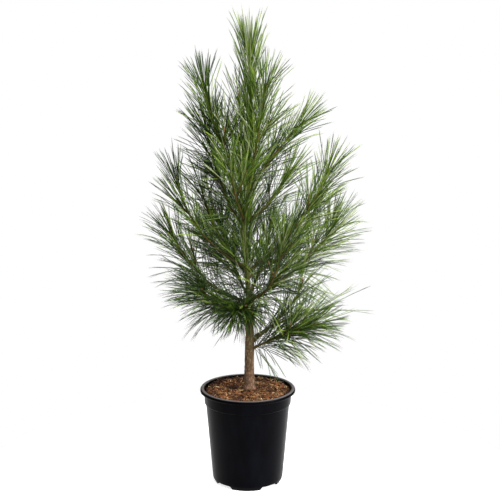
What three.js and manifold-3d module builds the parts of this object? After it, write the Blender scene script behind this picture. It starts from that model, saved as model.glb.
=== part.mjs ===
// A young blue pine in a nursery pot: pot, soil, trunk, main boughs and one mass of needles on each bough.
// Units are millimetres, +Z is up, and the origin is under the middle of the pot, where it stands.
// Bearings turn from +X (0) to +Y (90), away from the front; the front faces -Y.

import * as THREE from 'three';
import { mergeVertices } from 'three/addons/utils/BufferGeometryUtils.js';
import Module from 'manifold-3d';

const wasm = await Module();
wasm.setup();

const clearGap = 0.3;
const degree = Math.PI / 180;
const goldenAngle = Math.PI * (3 - Math.sqrt(5));

// Pot: a moulded shell with a turned lip, a collar below it, four wide feet and a small foot in the middle.
const pot = {
  lipRadius: 105,
  lipDepth: 9,
  lipEdge: 2.2,
  height: 215.5,
  wall: 2,
  collarTopRadius: 96.9,
  collarFootRadius: 95.7,
  collarDepth: 24,
  stepWidth: 3.1,
  stepDepth: 1.4,
  cornerRadius: 78,
  cornerHeight: 10,
  footRadius: 72.5,
  footWidth: 11,
  floorHeight: 9.5,
  floorThickness: 2.5,
  middleFootRadius: 15,
  footCount: 4,
  notchHalfAngle: 18,
  notchHeight: 8,
  notchSlope: 5,
  drainRadius: 6,
  drainCircle: 42,
  turn: -3,
  sides: 32,
};

// Soil: a mound that is highest at the trunk. Each ring of it has a radius and a rise above the soil's edge.
const soil = {
  edgeHeight: 204,
  middleHeight: 212,
  seatRadius: 17,
  mound: [
    [78, 0.8],
    [58, 2.4],
    [36, 5],
  ],
  lumpHeight: 1.6,
  seed: 11,
};

// Trunk: stations from the flat cut on the soil, through the whorls, to the tip under the leader's bud.
const trunk = {
  sides: 8,
  rings: 20,
  stations: [
    { height: soil.middleHeight + clearGap, x: 4.0, y: 0, radius: 13.5 },
    { height: 222, x: 3.6, y: 0, radius: 11.0 },
    { height: 250, x: 3.2, y: 0.5, radius: 9.7 },
    { height: 310, x: 4.1, y: 1.5, radius: 8.8 },
    { height: 372, x: 4.4, y: 2, radius: 8.2 },
    { height: 420, x: 5.6, y: 1.5, radius: 7.3 },
    { height: 450, x: 0.6, y: 0.5, radius: 6.0 },
    { height: 510, x: -4.8, y: -1, radius: 5.7 },
    { height: 570, x: -8.8, y: -1.5, radius: 5.5 },
    { height: 612, x: -3.8, y: -1, radius: 4.3 },
    { height: 658, x: 0.7, y: 0, radius: 3.8 },
    { height: 712, x: 3.5, y: 0.8, radius: 3.1 },
    { height: 860, x: 5.6, y: 1, radius: 2.4 },
    { height: 940, x: 5.0, y: 1, radius: 1.7 },
  ],
};

// Tiers: the limbs grow in whorls, and the older and lower ones are thicker and more open.
// splay is how far the oldest needles stand off the shoot in degrees, and opening the length below the tip
// over which they get there. droop is how far they sink below that. needle is their length at the tip and the
// longest. Each limb leaves the trunk at a height and a bearing, and lifts from one lean above level to another.
// knee is the share of its length by which half of that lift is done, and bare the length without needles.
const tiers = {
  first: {
    boughRadius: 3.7,
    splay: 80,
    droop: 0.34,
    opening: 34,
    needle: [78, 120],
    sprays: 8,
    limbs: [
      { side: 'front_right', height: 300, bearing: 338, lean: [33, 22], knee: 0.3, length: 172, bare: 42 },
      { side: 'right', height: 314, bearing: 350, lean: [40, 82], knee: 0.8, length: 190, bare: 66 },
      { side: 'back_right', height: 333, bearing: 6, lean: [46, 4], knee: 0.5, length: 188, bare: 76 },
    ],
  },
  second: {
    boughRadius: 3.3,
    splay: 80,
    droop: 0.3,
    opening: 40,
    needle: [78, 124],
    sprays: 8,
    limbs: [
      { side: 'left', height: 412, bearing: 175, lean: [-4, 68], knee: 0.24, length: 256, bare: 74 },
      { side: 'front_left', height: 408, bearing: 232, lean: [22, 22], knee: 0.5, length: 108, bare: 34 },
      { side: 'low_left', height: 402, bearing: 204, lean: [2, 16], knee: 0.5, length: 135, bare: 46 },
      { side: 'front_right', height: 414, bearing: 300, lean: [14, 78], knee: 0.42, length: 226, bare: 74 },
      { side: 'right', height: 412, bearing: 5, lean: [31, 76], knee: 0.8, length: 256, bare: 78 },
      { side: 'back_right', height: 428, bearing: 62, lean: [38, 72], knee: 0.5, length: 180, bare: 58 },
      { side: 'back_left', height: 418, bearing: 118, lean: [25, 68], knee: 0.5, length: 205, bare: 58 },
    ],
  },
  third: {
    boughRadius: 3.1,
    splay: 64,
    droop: 0.2,
    opening: 52,
    needle: [76, 114],
    sprays: 8,
    limbs: [
      { side: 'left', height: 488, bearing: 190, lean: [26, 80], knee: 0.5, length: 257, bare: 68 },
      { side: 'right', height: 477, bearing: 345, lean: [38, 71], knee: 0.6, length: 285, bare: 76 },
      { side: 'back_right', height: 466, bearing: 35, lean: [10, 60], knee: 0.46, length: 250, bare: 72 },
      { side: 'back', height: 490, bearing: 84, lean: [35, 72], knee: 0.5, length: 215, bare: 58 },
      { side: 'back_left', height: 474, bearing: 140, lean: [32, 74], knee: 0.5, length: 225, bare: 58 },
    ],
  },
  fourth: {
    boughRadius: 2.9,
    splay: 54,
    droop: 0.1,
    opening: 56,
    needle: [74, 108],
    sprays: 7,
    limbs: [
      { side: 'left', height: 582, bearing: 160, lean: [34, 78], knee: 0.16, length: 226, bare: 52 },
      { side: 'front', height: 590, bearing: 243, lean: [45, 76], knee: 0.4, length: 150, bare: 40 },
      { side: 'right', height: 586, bearing: 25, lean: [18, 58], knee: 0.3, length: 150, bare: 48 },
      { side: 'back', height: 580, bearing: 97, lean: [42, 76], knee: 0.5, length: 205, bare: 52 },
    ],
  },
  fifth: {
    boughRadius: 2.8,
    splay: 46,
    droop: 0.06,
    opening: 60,
    needle: [70, 104],
    sprays: 7,
    limbs: [
      { side: 'left', height: 664, bearing: 200, lean: [54, 80], knee: 0.48, length: 250, bare: 52 },
      { side: 'front_right', height: 658, bearing: 300, lean: [69, 76], knee: 0.5, length: 240, bare: 52 },
      { side: 'right', height: 655, bearing: 20, lean: [54, 44], knee: 0.5, length: 184, bare: 46 },
      { side: 'back', height: 668, bearing: 105, lean: [54, 78], knee: 0.5, length: 200, bare: 46 },
    ],
  },
};
const boughTipRadius = 2.5;
const boughSides = 5;
const boughRings = 3;

// Leader: the needles round the top of the trunk stand out of a thin sleeve that ends in a closed bud.
const leader = {
  foot: 700,
  budTop: 958,
  sleeveWall: 1.3,
  sides: 6,
  rings: 8,
  splay: 38,
  droop: 0.02,
  opening: 70,
  needle: [84, 98],
  sprays: 12,
  seed: 7,
};

// Shoots: the three-sided stem of a mass, with a side twig where it is long enough.
const shoot = {
  rootRadius: 2.8,
  tipRadius: 2.5,
  sides: 3,
  rings: 4,
  lengthForTwig: 140,
  twigLength: 62,
  twigAngle: 42,
  twigLift: 22,
  twigRings: 2,
};

// Sprays: blades with a long tooth for each needle, set down a shoot from its tip, round by the golden angle.
const spray = {
  teeth: 7,
  leastTeeth: 5,
  tries: 14,
  needleTries: 10,
  shorten: 0.03,
  spacing: 17,
  tipSplay: 7,
  lengthReach: 50,
  fan: 6.7,
  rootWidth: 1.1,
  rootStart: 0.3,
  rootThickness: 0.9,
  notch: 31,
  thickness: 1.5,
  wander: 9,
  rollRange: 150,
  footRoom: 8,
  twigFootRoom: 14,
  mostRounds: 40,
};

// Room: what is kept clear round a needle and its web, and how far one may pass the middle between shoots.
const room = {
  needleStart: 12,
  needleRadius: 1.8,
  tipRadius: 0.2,
  webStart: 3.5,
  webRadii: [1.4, 4.2],
  clearance: 0.8,
  twigMargin: 6,
  clearOfStem: 8,
  spaceMargin: 14,
};

// Finishes: satin black plastic, damp bark compost, grey-brown bark, tan young bark and green needles.
const finishes = {
  pot: { color: 0x16181c, roughness: 0.42, metalness: 0 },
  soil: { color: 0x6b4326, roughness: 0.95, metalness: 0 },
  bark: { color: 0x6d5a41, roughness: 0.9, metalness: 0 },
  youngBark: { color: 0x6f5a30, roughness: 0.8, metalness: 0 },
  needles: { color: 0x47702f, roughness: 0.6, metalness: 0 },
};

// Seeded random numbers between 0 and 1, so every build gives the same tree.
function makeRandom(seed) {
  let state = seed >>> 0;
  return () => {
    state = (Math.imul(state, 1664525) + 1013904223) >>> 0;
    return state / 4294967296;
  };
}

// A closed geometry as a solid: shared vertices are merged and faces without area are dropped.
function solidOf(geometry) {
  const bare = geometry.clone();
  bare.deleteAttribute('normal');
  bare.deleteAttribute('uv');
  const merged = mergeVertices(bare, 1e-4);
  const index = merged.index.array;
  const faces = [];
  for (let i = 0; i < index.length; i += 3) {
    const [a, b, c] = [index[i], index[i + 1], index[i + 2]];
    if (a !== b && b !== c && c !== a) faces.push(a, b, c);
  }
  const vertProperties = new Float32Array(merged.attributes.position.array);
  return new wasm.Manifold(new wasm.Mesh({ numProp: 3, vertProperties, triVerts: new Uint32Array(faces) }));
}

// The solid's largest body as a geometry.
function geometryOf(solid) {
  const bodies = solid.decompose().sort((a, b) => b.volume() - a.volume());
  const mesh = bodies[0].getMesh();
  const geometry = new THREE.BufferGeometry();
  const positions = new Float32Array(mesh.numVert * 3);
  for (let i = 0; i < mesh.numVert; i += 1) {
    for (let axis = 0; axis < 3; axis += 1) {
      positions[i * 3 + axis] = mesh.vertProperties[i * mesh.numProp + axis];
    }
  }
  geometry.setAttribute('position', new THREE.BufferAttribute(positions, 3));
  geometry.setIndex(new THREE.BufferAttribute(new Uint32Array(mesh.triVerts), 1));
  geometry.computeVertexNormals();
  return geometry;
}

function namedMesh(name, solid, finish) {
  const mesh = new THREE.Mesh(geometryOf(solid), new THREE.MeshStandardMaterial(finish));
  mesh.name = name;
  return mesh;
}

// A turned body about +Z from a profile of [radius, height] points.
function turned(profile, sides) {
  const points = profile.map(([radius, height]) => new THREE.Vector2(radius, height));
  const geometry = new THREE.LatheGeometry(points, sides);
  geometry.rotateX(Math.PI / 2);
  return geometry;
}

// Pot.
function potInnerWall() {
  const collarFoot = pot.height - pot.lipDepth - pot.collarDepth;
  return [
    [pot.cornerRadius - pot.wall - 1, pot.floorHeight + pot.floorThickness],
    [pot.collarFootRadius - pot.stepWidth - pot.wall, collarFoot - pot.stepDepth - 1],
    [pot.collarFootRadius - pot.wall, collarFoot + pot.stepDepth],
    [pot.collarTopRadius - pot.wall, pot.height - pot.lipDepth],
  ];
}

function potSolid() {
  const lipFoot = pot.height - pot.lipDepth;
  const collarFoot = lipFoot - pot.collarDepth;
  const outside = [
    [0, 0],
    [pot.middleFootRadius, 0],
    [pot.middleFootRadius + 1.5, pot.floorHeight],
    [pot.footRadius - pot.footWidth - 1, pot.floorHeight],
    [pot.footRadius - pot.footWidth, 0],
    [pot.footRadius, 0],
    [pot.cornerRadius, pot.cornerHeight],
    [pot.collarFootRadius - pot.stepWidth, collarFoot - pot.stepDepth],
    [pot.collarFootRadius, collarFoot],
    [pot.collarTopRadius, lipFoot],
    [pot.lipRadius - 1, lipFoot + 0.6],
    [pot.lipRadius, lipFoot + pot.lipEdge],
    [pot.lipRadius, pot.height - pot.lipEdge - 0.6],
    [pot.lipRadius - pot.lipEdge, pot.height],
    [pot.collarTopRadius + 0.6, pot.height - 0.4],
    [pot.collarTopRadius - pot.wall, pot.height - 3.4],
  ];
  const inside = potInnerWall().reverse();
  const profile = [...outside, ...inside, [0, pot.floorHeight + pot.floorThickness]];
  let solid = solidOf(turned(profile, pot.sides));
  for (let i = 0; i < pot.footCount; i += 1) {
    const middle = (360 / pot.footCount) * (i + 0.5) + pot.turn;
    solid = solid.subtract(notchSolid(middle)).subtract(drainSolid(middle));
  }
  return solid;
}

// The arched gap between two feet, cut through the foot ring.
function notchSolid(middle) {
  const halfWidth = pot.footRadius * Math.sin(pot.notchHalfAngle * degree);
  const spring = pot.notchHeight - 2;
  const depth = pot.footWidth * 3;
  const outline = new THREE.Shape();
  outline.moveTo(-halfWidth, -1);
  outline.lineTo(halfWidth, -1);
  outline.lineTo(halfWidth - pot.notchSlope, spring);
  outline.quadraticCurveTo(0, pot.notchHeight + 2, pot.notchSlope - halfWidth, spring);
  outline.lineTo(-halfWidth, -1);
  const arch = new THREE.ExtrudeGeometry(outline, { depth, bevelEnabled: false, curveSegments: 4 });
  arch.rotateX(Math.PI / 2);
  arch.translate(0, pot.cornerRadius + pot.footWidth, 0);
  arch.rotateZ((middle - 90) * degree);
  return solidOf(arch);
}

function drainSolid(middle) {
  const hole = new THREE.CylinderGeometry(pot.drainRadius, pot.drainRadius, pot.floorHeight, 12);
  hole.rotateX(Math.PI / 2);
  hole.translate(pot.drainCircle, 0, pot.floorHeight + pot.floorThickness / 2);
  hole.rotateZ(middle * degree);
  return solidOf(hole);
}

// Soil: fills the pot inside its wall, with lumps on top and a flat seat for the trunk.
function soilSolid() {
  const [floorEdge, ...wall] = potInnerWall();
  const surfaceRadius = pot.collarTopRadius - pot.wall - clearGap;
  const profile = [
    [0, floorEdge[1] + clearGap],
    [floorEdge[0] - clearGap, floorEdge[1] + clearGap],
    [wall[0][0] - clearGap, wall[0][1]],
    [wall[1][0] - clearGap, wall[1][1]],
    [surfaceRadius, soil.edgeHeight],
    ...soil.mound.map(([radius, rise]) => [radius, soil.edgeHeight + rise]),
    [soil.seatRadius, soil.middleHeight],
    [0, soil.middleHeight],
  ];
  const geometry = turned(profile, pot.sides);
  const position = geometry.attributes.position;
  const random = makeRandom(soil.seed);
  const lump = () => (random() - 0.5) * soil.lumpHeight;
  const lumps = soil.mound.map(() => Array.from({ length: pot.sides }, lump));
  for (let i = 0; i < position.count; i += 1) {
    const [x, y, z] = [position.getX(i), position.getY(i), position.getZ(i)];
    const ring = soil.mound.findIndex(([radius]) => Math.abs(Math.hypot(x, y) - radius) < 0.01);
    if (ring >= 0 && z > soil.edgeHeight) {
      const turn = (Math.atan2(y, x) / degree + 360) % 360;
      const spoke = Math.round((turn / 360) * pot.sides) % pot.sides;
      position.setZ(i, z + lumps[ring][spoke]);
    }
  }
  return solidOf(geometry);
}

// Trunk: its centre and radius at a height, by a smooth line through the stations.
function trunkAt(height) {
  const { stations } = trunk;
  let i = 0;
  while (i < stations.length - 2 && stations[i + 1].height < height) i += 1;
  const [low, high] = [stations[i], stations[i + 1]];
  const share = THREE.MathUtils.clamp((height - low.height) / (high.height - low.height), 0, 1);
  const eased = THREE.MathUtils.smoothstep(share, 0, 1) * 0.5 + share * 0.5;
  return {
    x: THREE.MathUtils.lerp(low.x, high.x, eased),
    y: THREE.MathUtils.lerp(low.y, high.y, eased),
    radius: THREE.MathUtils.lerp(low.radius, high.radius, share),
  };
}

// A round stack along the trunk's line between two heights, with a radius for each height.
function alongTrunk(foot, top, rings, sides, radiusAt) {
  const profile = [[0, 0]];
  for (let i = 0; i <= rings; i += 1) profile.push([1, i / rings]);
  profile.push([0, 1]);
  const geometry = turned(profile, sides);
  const position = geometry.attributes.position;
  for (let i = 0; i < position.count; i += 1) {
    const height = THREE.MathUtils.lerp(foot, top, position.getZ(i));
    const centre = trunkAt(height);
    const radius = radiusAt(height);
    position.setXYZ(i, centre.x + position.getX(i) * radius, centre.y + position.getY(i) * radius, height);
  }
  return geometry;
}

function trunkSolid(grow = 0) {
  const { stations, rings, sides } = trunk;
  const foot = stations[0].height - grow;
  const top = stations[stations.length - 1].height + grow;
  return solidOf(alongTrunk(foot, top, rings, sides, (height) => trunkAt(height).radius + grow * 1.15));
}

// The line of a shoot from a point: it starts at a bearing and a lean and lifts to another lean.
function shootLine({ start, bearing, lean, knee, length }) {
  const steps = 24;
  const points = [start.clone()];
  const point = start.clone();
  for (let i = 0; i < steps; i += 1) {
    const s = (i + 0.5) / steps;
    const done = s / (s + ((1 - s) * knee) / (1 - knee));
    const angle = THREE.MathUtils.lerp(lean[0], lean[1], done) * degree;
    const step = length / steps;
    point.x += Math.cos(bearing * degree) * Math.cos(angle) * step;
    point.y += Math.sin(bearing * degree) * Math.cos(angle) * step;
    point.z += Math.sin(angle) * step;
    points.push(point.clone());
  }
  const curve = new THREE.CatmullRomCurve3(points);
  curve.arcLengthDivisions = steps * 4;
  return curve;
}

// The frame of a line at a share of its length: point, forward, and two square directions.
function frameAt(curve, share) {
  const point = curve.getPointAt(THREE.MathUtils.clamp(share, 0, 1));
  const forward = curve.getTangentAt(THREE.MathUtils.clamp(share, 0, 1));
  const across = new THREE.Vector3(0, 0, 1).cross(forward);
  if (across.lengthSq() < 1e-4) across.set(1, 0, 0);
  across.normalize();
  const upward = forward.clone().cross(across);
  return { point, forward, across, upward };
}

// A tapered stick along part of a line, flat at both ends.
function stick(curve, from, to, radii, sides, rings) {
  const geometry = new THREE.CylinderGeometry(radii[1], radii[0], 1, sides, rings);
  const position = geometry.attributes.position;
  for (let i = 0; i < position.count; i += 1) {
    const share = THREE.MathUtils.lerp(from, to, position.getY(i) + 0.5);
    const { point, across, upward } = frameAt(curve, share);
    point.addScaledVector(upward, position.getX(i)).addScaledVector(across, position.getZ(i));
    position.setXYZ(i, point.x, point.y, point.z);
  }
  return geometry;
}

// Stretches of stick or needle kept clear of each other: two ends and a radius at each.
const stretches = [];
const reachSlack = 8;

function addStretch(owner, kind, a, b, ra, rb) {
  stretches.push({ owner, kind, a, b, ra, rb });
}

function addLineStretches(owner, kind, curve, from, to, radii, count) {
  for (let i = 0; i < count; i += 1) {
    const [s, t] = [i / count, (i + 1) / count];
    addStretch(
      owner,
      kind,
      curve.getPointAt(THREE.MathUtils.lerp(from, to, s)),
      curve.getPointAt(THREE.MathUtils.lerp(from, to, t)),
      THREE.MathUtils.lerp(radii[0], radii[1], s),
      THREE.MathUtils.lerp(radii[0], radii[1], t),
    );
  }
}

// The room between two stretches: the least distance between their lines, less their radii there.
function roomBetween(one, two) {
  const d1 = one.b.clone().sub(one.a);
  const d2 = two.b.clone().sub(two.a);
  const r = one.a.clone().sub(two.a);
  const a = d1.lengthSq();
  const e = d2.lengthSq();
  const b = d1.dot(d2);
  const c = d1.dot(r);
  const f = d2.dot(r);
  const denominator = a * e - b * b;
  let s = denominator > 1e-9 ? THREE.MathUtils.clamp((b * f - c * e) / denominator, 0, 1) : 0;
  let t = (b * s + f) / e;
  if (t < 0 || t > 1) {
    t = THREE.MathUtils.clamp(t, 0, 1);
    s = THREE.MathUtils.clamp((b * t - c) / a, 0, 1);
  }
  const p = one.a.clone().addScaledVector(d1, s);
  const q = two.a.clone().addScaledVector(d2, t);
  return p.distanceTo(q) - THREE.MathUtils.lerp(one.ra, one.rb, s) - THREE.MathUtils.lerp(two.ra, two.rb, t);
}

function isClear(stretch) {
  const middle = stretch.a.clone().add(stretch.b).multiplyScalar(0.5);
  const half = stretch.a.distanceTo(stretch.b) / 2;
  return stretches.every((other) => {
    const ownRoot = other.owner === stretch.owner && other.kind !== 'needle';
    if (ownRoot) return true;
    const reach = half + other.a.distanceTo(other.b) / 2 + reachSlack;
    if (middle.distanceTo(other.a.clone().add(other.b).multiplyScalar(0.5)) > reach) return true;
    return roomBetween(stretch, other) > room.clearance;
  });
}

// Each mass keeps to the space that lies nearer to its own shoots than to those of the others.
function distanceToShoots(point, mass) {
  return Math.min(...mass.samples.map((sample) => sample.distanceTo(point)));
}

function inOwnSpace(point, mass, masses) {
  const own = distanceToShoots(point, mass) - room.spaceMargin;
  return masses.every((other) => other === mass || distanceToShoots(point, other) > own);
}

// Where a spray points from a frame: an angle round the shoot and an angle off it, sinking with droop.
function needleDirection(frame, around, off, droop) {
  const direction = frame.forward.clone().multiplyScalar(Math.cos(off));
  direction.addScaledVector(frame.across, Math.cos(around) * Math.sin(off));
  direction.addScaledVector(frame.upward, Math.sin(around) * Math.sin(off));
  direction.z -= droop * Math.sin(off);
  return direction.normalize();
}

// A spray: a blade in its own plane with long teeth, each drawn to a point that lies a little off the plane.
function sprayGeometry(tips) {
  const halfRoot = spray.rootWidth / 2;
  const outline = new THREE.Shape();
  outline.moveTo(spray.rootStart, halfRoot);
  outline.lineTo(spray.rootStart, -halfRoot);
  tips.forEach((tip, i) => {
    outline.lineTo(tip.x, tip.y);
    if (i < tips.length - 1) {
      const next = tips[i + 1];
      const angle = (Math.atan2(tip.y, tip.x) + Math.atan2(next.y, next.x)) / 2;
      outline.lineTo(Math.cos(angle) * spray.notch, Math.sin(angle) * spray.notch);
    }
  });
  const blade = new THREE.ExtrudeGeometry(outline, { depth: spray.thickness, bevelEnabled: false, steps: 1 });
  const position = blade.attributes.position;
  for (let i = 0; i < position.count; i += 1) {
    const [x, y, z] = [position.getX(i), position.getY(i), position.getZ(i) - spray.thickness / 2];
    const tip = tips.find((each) => Math.hypot(each.x - x, each.y - y) < 1e-4);
    const narrowed = x < 1 ? spray.rootThickness / spray.thickness : 1;
    position.setZ(i, tip ? tip.z : z * narrowed);
  }
  return blade;
}

// Tries one spray of a mass at a frame. Needles without room are left out, and with too few it isn't made.
function trySpray(mass, masses, frame, around, off, length, random) {
  const along = needleDirection(frame, around, off, mass.droop);
  const roll = (random() - 0.5) * spray.rollRange * degree;
  const side = frame.forward.clone().cross(along).normalize().applyAxisAngle(along, roll);
  const normal = along.clone().cross(side);
  const placed = new THREE.Matrix4().makeBasis(along, side, normal).setPosition(frame.point);
  const tips = [];
  const needles = [];
  for (let i = 0; i < spray.teeth; i += 1) {
    for (let attempt = 0; attempt < spray.needleTries; attempt += 1) {
      const angle = (i - (spray.teeth - 1) / 2 + (random() - 0.5) * 0.5) * spray.fan * degree;
      const reach = length * (0.88 + random() * 0.14) * (1 - spray.shorten * attempt);
      const lift = (random() - 0.5) * 2 * spray.wander;
      const tip = new THREE.Vector3(Math.cos(angle) * reach, Math.sin(angle) * reach, lift);
      const root = new THREE.Vector3(Math.cos(angle), Math.sin(angle), 0).multiplyScalar(room.needleStart);
      const stretch = {
        owner: mass.name,
        kind: 'needle',
        a: root.applyMatrix4(placed),
        b: tip.clone().applyMatrix4(placed),
        ra: room.needleRadius,
        rb: room.tipRadius,
      };
      if (inOwnSpace(stretch.b, mass, masses) && isClear(stretch)) {
        tips.push(tip);
        needles.push(stretch);
        break;
      }
    }
  }
  if (tips.length < spray.leastTeeth) return false;
  const web = {
    owner: mass.name,
    kind: 'web',
    a: frame.point.clone().addScaledVector(along, room.webStart),
    b: frame.point.clone().addScaledVector(along, room.needleStart),
    ra: room.webRadii[0],
    rb: room.webRadii[1],
  };
  if (!isClear(web)) return false;
  stretches.push(...needles, web);
  mass.sprays.push(solidOf(sprayGeometry(tips).applyMatrix4(placed)));
  return true;
}

// The rule that sets a needle's angle off the shoot and its length by how far it grows from the shoot's tip.
function offAngle(mass, fromTip) {
  const opened = 1 - Math.exp(-fromTip / mass.opening);
  return (spray.tipSplay + (mass.splay - spray.tipSplay) * opened) * degree;
}

function needleLength(mass, fromTip) {
  const grown = 1 - Math.exp(-fromTip / spray.lengthReach);
  return THREE.MathUtils.lerp(mass.needle[0], mass.needle[1], grown);
}

// Masses: a shoot on each bough with side twigs by a seeded rule, and the leader round the trunk's top.
function makeMass({ tierName, limb }, i) {
  const tier = tiers[tierName];
  const name = `${tierName}_${limb.side}`;
  const height = limb.height;
  const centre = trunkAt(height);
  const line = shootLine({ ...limb, start: new THREE.Vector3(centre.x, centre.y, height) });
  const from = (limb.bare + clearGap) / limb.length;
  const random = makeRandom(100 + i * 17);
  const mass = { ...tier, quota: tier.sprays, name, limb, line, from, random, sprays: [], twigs: [] };
  const twigCount = limb.length - limb.bare > shoot.lengthForTwig ? 1 : 0;
  for (let k = 0; k < twigCount; k += 1) {
    const share = THREE.MathUtils.lerp(from, 1, 0.15 + random() * 0.2);
    const frame = frameAt(line, share);
    const around = random() < 0.5 ? 0 : Math.PI;
    const heading = needleDirection(frame, around + (k % 2) * Math.PI, shoot.twigAngle * degree, 0);
    const lean = Math.asin(heading.z) / degree;
    const twigLine = shootLine({
      start: frame.point,
      bearing: Math.atan2(heading.y, heading.x) / degree,
      lean: [lean, Math.min(lean + shoot.twigLift, 80)],
      knee: 0.5,
      length: shoot.twigLength * (0.85 + random() * 0.3),
    });
    mass.twigs.push(twigLine);
  }
  return mass;
}

const limbs = Object.entries(tiers).flatMap(([tierName, tier]) => {
  return tier.limbs.map((limb) => ({ tierName, limb }));
});
const masses = limbs.map(makeMass);
const leaderLine = new THREE.CatmullRomCurve3(
  Array.from({ length: 9 }, (_, i) => {
    const height = THREE.MathUtils.lerp(leader.foot, leader.budTop - 3, i / 8);
    const centre = trunkAt(height);
    return new THREE.Vector3(centre.x, centre.y, height);
  }),
);
const leaderMass = {
  name: 'leader',
  line: leaderLine,
  from: 0,
  random: makeRandom(leader.seed),
  sprays: [],
  splay: leader.splay,
  droop: leader.droop,
  opening: leader.opening,
  needle: leader.needle,
  quota: leader.sprays,
  twigs: [],
};

// What needles have to keep clear of: trunk, boughs and shoots. The trunk's top is the leader's own shoot.
const trunkStretches = 18;
for (let i = 0; i < trunkStretches; i += 1) {
  const [foot, top] = [trunk.stations[0].height, trunk.stations.at(-1).height];
  const low = THREE.MathUtils.lerp(foot, top, i / trunkStretches);
  const high = THREE.MathUtils.lerp(foot, top, (i + 1) / trunkStretches);
  const owner = low > leader.foot ? 'leader' : 'trunk';
  const [a, b] = [trunkAt(low), trunkAt(high)];
  const from = new THREE.Vector3(a.x, a.y, low);
  const to = new THREE.Vector3(b.x, b.y, high);
  addStretch(owner, 'trunk', from, to, a.radius + leader.sleeveWall, b.radius + leader.sleeveWall);
}
masses.forEach((mass) => {
  const { line, from } = mass;
  addLineStretches(`bough_${mass.name}`, 'bough', line, 0, from, [mass.boughRadius, boughTipRadius], 4);
  addLineStretches(mass.name, 'shoot', line, from, 1, [shoot.rootRadius, shoot.tipRadius], 6);
});

// Side twigs stay only where they touch nothing else.
masses.forEach((mass) => {
  mass.twigs = mass.twigs.filter((twig) => {
    const start = room.clearOfStem / twig.getLength();
    const pieces = [0, 1, 2].map((k) => ({
      owner: mass.name,
      kind: 'twig',
      a: twig.getPointAt(THREE.MathUtils.lerp(start, 1, k / 3)),
      b: twig.getPointAt(THREE.MathUtils.lerp(start, 1, (k + 1) / 3)),
      ra: shoot.rootRadius + room.twigMargin,
      rb: shoot.tipRadius + room.twigMargin,
    }));
    const clear = pieces.every(isClear);
    if (clear) addLineStretches(mass.name, 'shoot', twig, 0, 1, [shoot.tipRadius, shoot.tipRadius], 3);
    return clear;
  });
  const shares = Array.from({ length: 12 }, (_, i) => THREE.MathUtils.lerp(mass.from, 1, i / 11));
  mass.samples = shares.map((share) => mass.line.getPointAt(share));
  mass.twigs.forEach((twig) => mass.samples.push(...twig.getSpacedPoints(5)));
});
leaderMass.samples = leaderLine.getSpacedPoints(14);
const allMasses = [leaderMass, ...masses];

// Sprays go round the shoots by the golden angle from each tip down, one mass after another in turn.
function sprayPlaces(mass, count) {
  const lines = [mass.line, ...mass.twigs];
  const places = [];
  for (let k = 0; k < spray.mostRounds && places.length < count * 3; k += 1) {
    lines.forEach((line, which) => {
      const length = line.getLength();
      const first = which === 0 ? mass.from * length + spray.footRoom : spray.twigFootRoom;
      const fromTip = 1 + k * spray.spacing * (0.75 + 0.5 * mass.random());
      if (length - fromTip > first) places.push({ line, share: 1 - fromTip / length, fromTip });
    });
  }
  return places;
}

allMasses.forEach((mass) => {
  mass.places = sprayPlaces(mass, mass.quota);
  mass.around = mass.random() * Math.PI * 2;
});
for (let round = 0; round < spray.mostRounds; round += 1) {
  allMasses.forEach((mass) => {
    const place = mass.places[round];
    if (!place || mass.sprays.length >= mass.quota) return;
    const frame = frameAt(place.line, place.share);
    mass.around += goldenAngle;
    for (let attempt = 0; attempt < spray.tries; attempt += 1) {
      const around = mass.around + (mass.random() - 0.5) * attempt * 0.9;
      const off = offAngle(mass, place.fromTip) * (0.85 + mass.random() * 0.3);
      const length = needleLength(mass, place.fromTip);
      if (trySpray(mass, allMasses, frame, around, off, length, mass.random)) break;
    }
  });
}

// A mass's solid: its shoot, twigs and sprays fused into one.
function massSolid(mass) {
  const radii = [shoot.rootRadius, shoot.tipRadius];
  let solid = solidOf(stick(mass.line, mass.from, 1, radii, shoot.sides, shoot.rings));
  mass.twigs.forEach((twig) => {
    const twigRadii = [shoot.tipRadius, shoot.tipRadius * 0.85];
    solid = solid.add(solidOf(stick(twig, 0, 1, twigRadii, shoot.sides, shoot.twigRings)));
  });
  return fuse([solid, ...mass.sprays]);
}

function fuse(solids) {
  return solids.reduce((whole, piece) => whole.add(piece));
}

function leaderSolid() {
  const bud = trunk.stations.at(-1).height + clearGap;
  const sleeveRadius = (height) => {
    const shrink = Math.max(0, (height - bud) / (leader.budTop - bud));
    return (trunkAt(height).radius + clearGap + leader.sleeveWall) * (1 - shrink * 0.55);
  };
  const sleeve = solidOf(alongTrunk(leader.foot, leader.budTop, leader.rings, leader.sides, sleeveRadius));
  return fuse([sleeve, ...leaderMass.sprays]).subtract(trunkSolid(clearGap));
}

function boughSolid(mass, clearTrunk) {
  const radii = [mass.boughRadius, boughTipRadius];
  const to = mass.limb.bare / mass.limb.length;
  return solidOf(stick(mass.line, 0, to, radii, boughSides, boughRings)).subtract(clearTrunk);
}

const container = new THREE.Group();
container.add(namedMesh('pot', potSolid(), finishes.pot));
container.add(namedMesh('soil', soilSolid(), finishes.soil));

const tree = new THREE.Group();
tree.add(namedMesh('trunk', trunkSolid(), finishes.bark));
const clearTrunk = trunkSolid(clearGap);
masses.forEach((mass) => {
  tree.add(namedMesh(`bough_${mass.name}`, boughSolid(mass, clearTrunk), finishes.youngBark));
  tree.add(namedMesh(`needles_${mass.name}`, massSolid(mass), finishes.needles));
});
tree.add(namedMesh('needles_leader', leaderSolid(), finishes.needles));

const plant = new THREE.Group();
plant.add(container, tree);

export default plant;
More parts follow.
